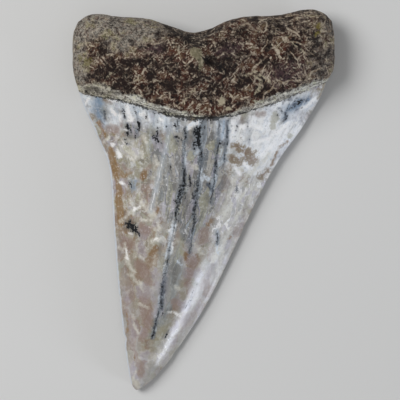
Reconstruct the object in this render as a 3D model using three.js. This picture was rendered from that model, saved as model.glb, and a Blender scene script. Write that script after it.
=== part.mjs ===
// A fossil mako shark tooth, lying on its flat labial face with the rounded lingual face up.
// Millimetres, +Z up. X runs across the root, +Y from the tip to the root, and the origin is
// under the middle of the tooth, on the surface that it lies on. Root and crown grew as one piece,
// so the tooth is one mesh: an upper and a lower sheet that share the whole outline.
import * as THREE from "three";
import { ParametricGeometry } from "three/addons/geometries/ParametricGeometry.js";
import { mergeVertices } from "three/addons/utils/BufferGeometryUtils.js";

// Driving dimensions.
const LENGTH = 60; // root lobe to tip, along Y
const WIDTH = 41.3; // across the root, along X
const THICKNESS = 12; // floor to the top of the root's boss, along Z

// Sizes that follow from them.
const CROWN_RISE = 0.71 * THICKNESS; // height of the crown's middle where it leaves the root
const CROWN_EDGE = 0.1 * THICKNESS; // height of the cutting edges above the floor
const ROOT_EDGE = 0.36 * THICKNESS; // height of the line round the middle of the root's rim
const LOBE_RISE = 0.7 * THICKNESS; // height of the two root lobes
const BOSS_RISE = THICKNESS - LOBE_RISE; // how far the boss stands above the lobes
const ROOT_DEPTH = 0.225 * LENGTH; // base to neck
const CROWN_LENGTH = 0.72 * LENGTH; // neck to tip
const RIM_ROUND = 0.1 * LENGTH; // how far in from the base the root is still rounding over
const UNDER_ROUND = 0.055 * LENGTH; // the same, on the labial side
const TIP_ROUND = 0.03 * LENGTH;
const NECK_RIM = 0.45; // the root's rolled border, proud of the enamel
const NECK_RIM_HEIGHT = 1.6; // how far that border runs up the root
const LABIAL_STEP = 0.35; // the enamel's foot stands this far off the root underneath
const ROOT_LIFT = 0.9; // how far the root's labial face rises off the floor at its base
const RESTING_BULGE = 0.25; // depth of the labial bulge that is worn flat where the tooth lies
const EDGE_WAVE = 0.3; // the cutting edges' slow wave, up and down

// Mesh density: columns across each of the two sheets, rows along the root and the crown.
const COLUMNS = 34;
const ROOT_ROWS = 26;
const CROWN_ROWS = 46;

// Outline and neck, as shares of half the width and half the length, from left to right or from
// the root down. Each pair of neighbouring curves meets in a shared end point.
const LEFT_CORNER = [-0.954, 0.934];
const RIGHT_CORNER = [0.977, 0.942];
const LEFT_NECK = [-0.947, 0.564];
const RIGHT_NECK = [0.935, 0.617];
const LEFT_OF_TIP = [-0.55, -0.968];
const RIGHT_OF_TIP = [-0.427, -0.968];

const base = outlineCurve([
  LEFT_CORNER, [-0.88, 0.968], [-0.79, 0.976], [-0.63, 0.961], [-0.42, 0.95], [-0.25, 0.912],
  [-0.085, 0.881], [0.04, 0.896], [0.19, 0.942], [0.36, 0.966], [0.57, 0.97], [0.74, 0.996],
  [0.85, 0.998], [0.93, 0.976], RIGHT_CORNER,
]);
const rootLeft = outlineCurve([
  LEFT_CORNER, [-0.985, 0.89], [-0.996, 0.837], [-1, 0.732], [-0.985, 0.65], LEFT_NECK,
]);
const rootRight = outlineCurve([
  RIGHT_CORNER, [0.994, 0.88], [1, 0.837], [1, 0.722], [0.98, 0.66], RIGHT_NECK,
]);
const crownLeft = outlineCurve([
  LEFT_NECK, [-0.91, 0.49], [-0.809, 0.333], [-0.733, 0.207], [-0.705, 0.09], [-0.687, -0.13],
  [-0.649, -0.475], [-0.603, -0.759], [-0.57, -0.91], LEFT_OF_TIP,
]);
const crownRight = outlineCurve([
  RIGHT_NECK, [0.88, 0.525], [0.748, 0.375], [0.573, 0.207], [0.405, -0.003], [0.206, -0.297],
  [0.023, -0.549], [-0.214, -0.8], [-0.36, -0.923], RIGHT_OF_TIP,
]);
const tip = outlineCurve([LEFT_OF_TIP, [-0.508, -1], RIGHT_OF_TIP]);
const lingualNeck = outlineCurve([
  LEFT_NECK, [-0.84, 0.538], [-0.634, 0.51], [-0.405, 0.457], [-0.25, 0.422], [-0.04, 0.411],
  [0.17, 0.423], [0.45, 0.478], [0.74, 0.549], RIGHT_NECK,
]);
const labialNeck = outlineCurve([
  LEFT_NECK, [-0.6, 0.548], [-0.25, 0.525], [0.1, 0.525], [0.5, 0.562], RIGHT_NECK,
]);

// The four regions of the outline's inside, in plan.
const upperRoot = coonsPatch(base, lingualNeck, rootLeft, rootRight);
const upperCrown = coonsPatch(lingualNeck, tip, crownLeft, crownRight);
const lowerRoot = coonsPatch(base, labialNeck, rootLeft, rootRight);
const lowerCrown = coonsPatch(labialNeck, tip, crownLeft, crownRight);

function outlineCurve(knots) {
  const scaled = knots.map(
    ([x, y]) => new THREE.Vector2((x * WIDTH) / 2, (y * LENGTH) / 2),
  );
  return new THREE.SplineCurve(scaled);
}

// A Coons patch: the two rulings between opposite curves, less the plane through the corners.
function coonsPatch(start, end, left, right) {
  const [startLeft, startRight] = [start.getPoint(0), start.getPoint(1)];
  const [endLeft, endRight] = [end.getPoint(0), end.getPoint(1)];
  return (across, along) => {
    const rows = start.getPointAt(across).lerp(end.getPointAt(across), along);
    const columns = left.getPointAt(along).lerp(right.getPointAt(along), across);
    const near = startLeft.clone().lerp(startRight, across);
    const far = endLeft.clone().lerp(endRight, across);
    return rows.add(columns).sub(near.lerp(far, along));
  };
}

const mix = THREE.MathUtils.lerp;

// 0 at and beyond the first place, 1 at and beyond the second, whichever way round they lie, and
// smooth between.
function ease(from, to, x) {
  const share = THREE.MathUtils.clamp((x - from) / (to - from), 0, 1);
  return share * share * (3 - 2 * share);
}

// A quarter circle: rises steeply from 0 at x = 0 and levels off at 1 from x = 1 on.
function dome(x) {
  return Math.sqrt(1 - (1 - THREE.MathUtils.clamp(x, 0, 1)) ** 2);
}

function hump(x, middle, spread) {
  return Math.exp(-(((x - middle) / spread) ** 2));
}

// Height of the outline itself: the middle of the root's rim, then the cutting edge.
function edgeHeight(fromNeck) {
  const wave = EDGE_WAVE * Math.sin((2 * Math.PI * fromNeck) / CROWN_LENGTH);
  const faded = wave * ease(0, 6, fromNeck) * ease(CROWN_LENGTH, CROWN_LENGTH - 8, fromNeck);
  return mix(ROOT_EDGE, CROWN_EDGE + faded, ease(-4, 5, fromNeck));
}

// Share of the full height across the tooth, side from -1 to 1: full and blunt on the root, and on
// the crown a lens with slightly hollow bevels behind its sharp edges.
function lingualSection(side, fromNeck) {
  const blunt = Math.sqrt(1 - Math.abs(side) ** 5);
  const lens = Math.sin((Math.PI / 2) * (1 - Math.abs(side))) ** 1.12;
  return mix(blunt, lens, ease(-5, 4, fromNeck));
}

// Two lobes with a boss between them, and a low saddle on each side of the boss.
function rootCrest(side) {
  const boss = BOSS_RISE * hump(side, -0.04, 0.4);
  const lobes = 0.6 * (hump(side, -0.72, 0.2) + hump(side, 0.72, 0.2));
  return LOBE_RISE + boss + lobes;
}

// The nutrient foramen's pit, on the boss, the knob of hard sediment beside it, and the shallow
// furrow from them to the notch.
function foramen(x, y) {
  const pit = 0.9 * hump(x, 1.3, 1.3) * hump(y, 21.7, 1.4);
  const knob = 0.6 * hump(x, -0.9, 1) * hump(y, 22.5, 1.7);
  const furrow = 0.6 * hump(x, -0.8, 2.4) * ease(23, 26, y);
  return pit - knob + furrow;
}

// Lumps and hollows of the worn root: broad swells, and small knobs that lie across them.
function lumps(x, y) {
  const broad = Math.sin(0.55 * x + 0.9) * Math.sin(0.62 * y + 0.4);
  const small = Math.sin(1.3 * x + 0.3 * y) * Math.sin(1.25 * y - 0.25 * x + 1);
  return 0.22 * broad + 0.17 * small;
}

function lingualHeight(side, fromBase, fromNeck, toTip, x, y) {
  const edge = edgeHeight(fromNeck);
  const section = lingualSection(side, fromNeck);
  if (fromNeck >= 0) {
    const crest = edge + (CROWN_RISE - edge) * (toTip / CROWN_LENGTH) ** 0.58;
    return edge + (crest - edge) * section;
  }
  const slope = ease(-0.68 * ROOT_DEPTH, 0, fromNeck);
  const crest = mix(rootCrest(side) - foramen(x, y), CROWN_RISE, slope);
  const border = NECK_RIM * ease(0, -0.25, fromNeck) * ease(-3, -NECK_RIM_HEIGHT, fromNeck);
  const worn = lumps(x, y) * ease(0, -2, fromNeck);
  const rounding = dome(fromBase / RIM_ROUND) * section;
  return edge + (crest + border + worn - edge) * rounding;
}

// The labial face is level, and flat where the tooth lies on it. The enamel's foot stands off the
// root, and past the foot the root bulges down again to the same level and then turns up.
function labialHeight(side, fromBase, fromNeck, toTip) {
  const edge = edgeHeight(fromNeck);
  const blunt = Math.sqrt(1 - Math.abs(side) ** 7);
  const flat = 1 - Math.abs(side) ** 2.6;
  const section = mix(blunt, flat, ease(-3, 4, fromNeck));
  const foot = (LABIAL_STEP + RESTING_BULGE) * ease(0, -0.3, fromNeck) * ease(-5, -2, fromNeck);
  const lift = ROOT_LIFT * ease(-8, -ROOT_DEPTH, fromNeck);
  const level = foot + lift - RESTING_BULGE;
  const rounding = dome(fromBase / UNDER_ROUND) * dome(toTip / TIP_ROUND);
  return Math.max(0, edge - (edge - level) * section * rounding);
}

// Sample places, closer together towards both ends: share is how much of that crowding is used.
function crowded(q, share) {
  return mix(q, 0.5 - 0.5 * Math.cos(Math.PI * q), share);
}

// u runs once round the tooth, under the lower sheet and back over the upper one, and v from the
// root's base to the tip. The neck lies on a row of its own.
function toothSurface(u, v, target) {
  const upper = u > 0.5;
  const across = crowded(upper ? 2 - 2 * u : 2 * u, 0.6);
  const neckRow = ROOT_ROWS / (ROOT_ROWS + CROWN_ROWS);
  const onRoot = v <= neckRow;
  const along = onRoot
    ? crowded(v / neckRow, 0.9)
    : crowded((v - neckRow) / (1 - neckRow), 0.6);
  const patch = upper ? (onRoot ? upperRoot : upperCrown) : onRoot ? lowerRoot : lowerCrown;
  const { x, y } = patch(across, along);
  const side = 2 * across - 1;
  const fromBase = onRoot ? along * ROOT_DEPTH : ROOT_DEPTH;
  const fromNeck = onRoot ? (along - 1) * ROOT_DEPTH : along * CROWN_LENGTH;
  const toTip = onRoot ? CROWN_LENGTH : (1 - along) * CROWN_LENGTH;
  const z = upper
    ? lingualHeight(side, fromBase, fromNeck, toTip, x, y)
    : labialHeight(side, fromBase, fromNeck, toTip);
  target.set(x, y, z);
}

// Welds the sheets along the outline and drops the triangles that collapse there.
function welded(geometry) {
  geometry.deleteAttribute("normal");
  geometry.deleteAttribute("uv");
  const merged = mergeVertices(geometry, 1e-3);
  const corners = merged.index.array;
  const kept = [];
  for (let i = 0; i < corners.length; i += 3) {
    const [a, b, c] = corners.slice(i, i + 3);
    if (a !== b && b !== c && c !== a) kept.push(a, b, c);
  }
  merged.setIndex(kept);
  merged.computeVertexNormals();
  return merged;
}

// Puts the middle of the outline over the origin, so that the frame's origin is the box's.
function centred(geometry) {
  geometry.computeBoundingBox();
  const { min, max } = geometry.boundingBox;
  return geometry.translate(-(min.x + max.x) / 2, -(min.y + max.y) / 2, -min.z);
}

function makeTooth() {
  const surface = new ParametricGeometry(toothSurface, 2 * COLUMNS, ROOT_ROWS + CROWN_ROWS);
  const material = new THREE.MeshStandardMaterial({
    color: 0xa59d92,
    roughness: 0.5,
    metalness: 0,
  });
  const tooth = new THREE.Mesh(centred(welded(surface)), material);
  tooth.name = "tooth";
  return tooth;
}

const fossil = new THREE.Group();
fossil.add(makeTooth());

export default fossil;
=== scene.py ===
"""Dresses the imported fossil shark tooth: one fine surface with a bone root and an enamel crown.

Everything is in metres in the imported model's frame: +X across the root, +Y from the tip to the root,
+Z up. Shapes are worked out in millimetres, in which the sizes below are written.
"""

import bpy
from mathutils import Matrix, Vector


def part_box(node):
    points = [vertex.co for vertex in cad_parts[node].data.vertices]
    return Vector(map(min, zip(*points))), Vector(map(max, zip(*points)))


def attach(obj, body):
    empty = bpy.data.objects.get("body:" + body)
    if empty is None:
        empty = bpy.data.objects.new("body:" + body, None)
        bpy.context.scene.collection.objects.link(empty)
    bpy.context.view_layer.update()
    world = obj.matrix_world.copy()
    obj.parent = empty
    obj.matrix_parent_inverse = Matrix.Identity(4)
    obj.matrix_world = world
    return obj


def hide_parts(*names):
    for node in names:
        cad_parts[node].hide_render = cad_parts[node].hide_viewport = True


bl_info = {
    "name": "Fossil mako tooth",
    "version": (1, 0, 0),
    "blender": (4, 5, 0),
    "location": "View3D > Sidebar > Fossil",
    "description": "Builds a fossil mako tooth with a weathered bone root and a stained enamel crown",
    "category": "Object",
}

from types import SimpleNamespace

import bpy
import numpy as np
from bpy.props import FloatProperty, FloatVectorProperty, PointerProperty

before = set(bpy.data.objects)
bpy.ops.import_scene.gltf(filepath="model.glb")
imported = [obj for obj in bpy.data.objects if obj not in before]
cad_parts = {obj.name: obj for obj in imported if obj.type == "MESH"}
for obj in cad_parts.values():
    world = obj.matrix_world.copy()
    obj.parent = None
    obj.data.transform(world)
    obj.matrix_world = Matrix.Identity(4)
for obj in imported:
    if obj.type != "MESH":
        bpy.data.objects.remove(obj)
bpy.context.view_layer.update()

MM = 0.001
LOW, HIGH = (np.array(corner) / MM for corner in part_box("tooth"))
WIDTH, LENGTH, THICKNESS = HIGH - LOW

# Sizes that follow from the box, in millimetres.
CROWN_RISE = 0.71 * THICKNESS  # height of the crown's middle where it leaves the root
CROWN_EDGE = 0.1 * THICKNESS  # height of the cutting edges above the floor
ROOT_EDGE = 0.36 * THICKNESS  # height of the line round the middle of the root's rim
LOBE_RISE = 0.7 * THICKNESS  # height of the two root lobes
BOSS_RISE = THICKNESS - LOBE_RISE  # how far the boss stands above the lobes
ROOT_DEPTH = 0.225 * LENGTH  # base to neck
CROWN_LENGTH = 0.72 * LENGTH  # neck to tip
RIM_ROUND = 0.1 * LENGTH  # how far in from the base the root is still rounding over
UNDER_ROUND = 0.055 * LENGTH  # the same, on the labial side
TIP_ROUND = 0.03 * LENGTH
NECK_RIM = 0.45  # the root's rolled border, proud of the enamel
NECK_RIM_HEIGHT = 1.6  # how far that border runs up the root
LABIAL_STEP = 0.35  # the enamel's foot stands this far off the root underneath
ROOT_LIFT = 0.9  # how far the root's labial face rises off the floor at its base
RESTING_BULGE = 0.25  # depth of the labial bulge that is worn flat where the tooth lies
EDGE_WAVE = 0.3  # the cutting edges' slow wave, up and down
LENS_POWER = 1.12  # shape of the crown's section: a sine over each half, to this power
TAPER_POWER = 0.58  # how the crown's middle falls: what is left of its length, to this power

# The root's crest on the lingual face: where its features lie, and how high or deep they are.
LOBES, LOBE_SWELL = (-0.72, 0.72), 0.6  # the lobes' middles, in shares of half the width
BOSS = -0.04  # the boss's middle, in the same shares
PIT, PIT_DEPTH = (1.3, 21.7), 0.9  # the nutrient pit
KNOB, KNOB_RISE = (-0.9, 22.5), 0.6  # a knob of sediment beside it
FURROW, FURROW_DEPTH = -0.8, 0.6  # runs from the boss into the notch
BROAD_LUMPS, SMALL_LUMPS = 0.22, 0.17  # uneven bone all over the crest
HOLLOW_DEPTH = 0.35  # the hollows among the marks below

# Outline and neck, as shares of half the width and half the length, from left to right or from the
# root down. Neighbouring curves share their end points.
LEFT_CORNER, RIGHT_CORNER = (-0.954, 0.934), (0.977, 0.942)
LEFT_NECK, RIGHT_NECK = (-0.947, 0.564), (0.935, 0.617)
LEFT_OF_TIP, RIGHT_OF_TIP = (-0.55, -0.968), (-0.427, -0.968)
BASE = (
    LEFT_CORNER, (-0.88, 0.968), (-0.79, 0.976), (-0.63, 0.961), (-0.42, 0.95), (-0.25, 0.912),
    (-0.085, 0.881), (0.04, 0.896), (0.19, 0.942), (0.36, 0.966), (0.57, 0.97), (0.74, 0.996),
    (0.85, 0.998), (0.93, 0.976), RIGHT_CORNER,
)
ROOT_LEFT = (LEFT_CORNER, (-0.985, 0.89), (-0.996, 0.837), (-1, 0.732), (-0.985, 0.65), LEFT_NECK)
ROOT_RIGHT = (RIGHT_CORNER, (0.994, 0.88), (1, 0.837), (1, 0.722), (0.98, 0.66), RIGHT_NECK)
CROWN_LEFT = (
    LEFT_NECK, (-0.91, 0.49), (-0.809, 0.333), (-0.733, 0.207), (-0.705, 0.09), (-0.687, -0.13),
    (-0.649, -0.475), (-0.603, -0.759), (-0.57, -0.91), LEFT_OF_TIP,
)
CROWN_RIGHT = (
    RIGHT_NECK, (0.88, 0.525), (0.748, 0.375), (0.573, 0.207), (0.405, -0.003), (0.206, -0.297),
    (0.023, -0.549), (-0.214, -0.8), (-0.36, -0.923), RIGHT_OF_TIP,
)
TIP = (LEFT_OF_TIP, (-0.508, -1), RIGHT_OF_TIP)
LINGUAL_NECK = (
    LEFT_NECK, (-0.84, 0.542), (-0.634, 0.517), (-0.405, 0.471), (-0.25, 0.437), (-0.04, 0.424),
    (0.17, 0.431), (0.45, 0.482), (0.74, 0.559), RIGHT_NECK,
)
LABIAL_NECK = (
    LEFT_NECK, (-0.6, 0.548), (-0.25, 0.525), (0.1, 0.525), (0.5, 0.562), RIGHT_NECK,
)

# Columns over the lingual sheet (the labial one has half as many), and rows down root and crown.
COLUMNS = 220
ROOT_ROWS = 96
CROWN_ROWS = 190
CURVE_POINTS = 600  # points along each smooth line of the outline

# Broad zones of colour on the lingual face, in millimetres, and soaked through to the labial one. Each
# is an ellipse: its middle, half its length, half its width, and its length's angle from +X in degrees.
ZONES = {
    "pale": (
        (10.6, 10.4, 7.8, 4.0, 50), (13.6, 14.0, 4.4, 2.0, 30), (-9.2, 13.4, 5.0, 1.1, -18),
        (-5.8, 12.2, 2.0, 0.8, -12), (-18.2, 15.6, 1.2, 0.8, -60), (-14.0, 13.6, 1.2, 0.8, -70),
        (4.6, 10.4, 1.8, 2.6, 0),
    ),
    "bright": (
        (6.6, 2.0, 4.6, 2.4, 60), (4.9, -1.2, 4.6, 1.6, 62), (8.0, 4.6, 3.6, 3.0, 55),
        # (2.8, -7.6): white flakes where the side light's highlight begins on the lower right flank,
        # partly a painted highlight.
        (2.8, -7.6, 2.4, 0.6, 60), (-11.6, 7.8, 1.9, 0.9, -50), (2.4, -3.8, 2.2, 0.8, 62),
        # (-6.4, -23.4): a painted highlight, the lower end of the side light's reflection on the flank.
        (-6.4, -23.4, 2.2, 0.4, 58),
    ),
    "mauve": (
        (-11.4, -20.0, 5.6, 0.9, -82), (-10.2, -27.2, 2.2, 1.4, -70), (-6.8, -15.0, 4.0, 0.8, 78),
        (-12.4, 11.6, 3.6, 1.2, -18), (-8.6, 1.6, 2.2, 0.8, 75), (7.0, 12.6, 3.6, 0.6, 15),
        (-1.8, -7.4, 2.6, 1.2, 70), (13.6, 9.2, 3.0, 0.6, 52), (4.6, -6.0, 4.0, 1.0, 62),
        # (-1.2, -16.0): lilac along the side light's highlight on the lower right flank, a painted tint
        # of that reflection.
        (-1.2, -16.0, 9.0, 1.5, 60),
    ),
    "cool": (
        (-4.6, 5.0, 8.6, 2.4, 84), (0.4, 4.6, 8.4, 2.9, 84), (-1.6, -2.6, 4.4, 2.2, 80),
        (-5.4, -13.6, 7.0, 1.5, 76), (-15.9, 13.8, 2.6, 0.9, -75), (14.6, 14.8, 1.7, 0.8, 25),
        (12.6, 13.2, 0.6, 1.4, 0), (3.0, 8.0, 4.2, 0.9, 82), (-11.0, 11.4, 3.4, 0.9, -18),
        # (2.6, -8.6): blue-grey along the top of the side light's highlight, a painted tint of that
        # reflection.
        (2.6, -8.6, 2.6, 0.6, 61), (-7.6, 8.8, 3.4, 1.3, -82),
    ),
    "dark": (
        (-0.9, 8.6, 4.4, 1.3, 84), (-2.1, -0.2, 4.0, 1.9, 84), (2.2, 8.6, 3.6, 0.6, 84),
        (-3.4, 1.0, 4.4, 0.7, 82), (-1.9, -3.4, 2.2, 1.2, 70), (-6.5, -14.0, 7.0, 0.4, 79),
        (0.4, 0.2, 1.4, 0.8, 0),
    ),
    "warm": (
        (-13.7, 1.0, 7.5, 1.0, -79), (-10.3, -8.4, 6.2, 2.8, -82), (-9.6, -17.8, 6.4, 2.6, -80),
        (-1.6, -9.6, 5.4, 1.6, 68), (-4.5, -17.5, 4.4, 1.5, 62), (-11.0, 3.4, 4.6, 2.4, -72),
        (-14.6, 10.8, 2.4, 0.9, -50), (11.2, 5.9, 3.4, 0.5, 56),
    ),
    "olive": (
        (-10.8, 6.0, 4.2, 2.4, -70), (-5.0, -12.5, 7.0, 1.1, 76), (-7.0, -20.8, 3.0, 1.5, 75),
        (0.9, 6.6, 3.0, 0.9, 84), (4.6, -1.0, 3.4, 1.0, 65), (-6.3, 2.4, 4.0, 1.0, 84),
        (-9.0, 6.8, 3.0, 1.2, -80), (7.4, 1.0, 4.4, 0.6, 58),
    ),
    "azure": (
        (-16.6, 14.4, 2.2, 0.75, -85), (15.0, 14.9, 2.6, 0.9, 25), (13.0, 13.4, 0.5, 1.2, 0),
        (3.1, 10.9, 1.7, 0.4, 85), (-10.9, 2.3, 0.8, 0.35, 70),
    ),
    "plum": (
        (12.8, 19.7, 4.0, 2.0, 20), (-7.6, 23.6, 1.8, 1.0, 0), (4.0, 23.5, 2.5, 1.0, 15),
    ),
}
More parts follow.
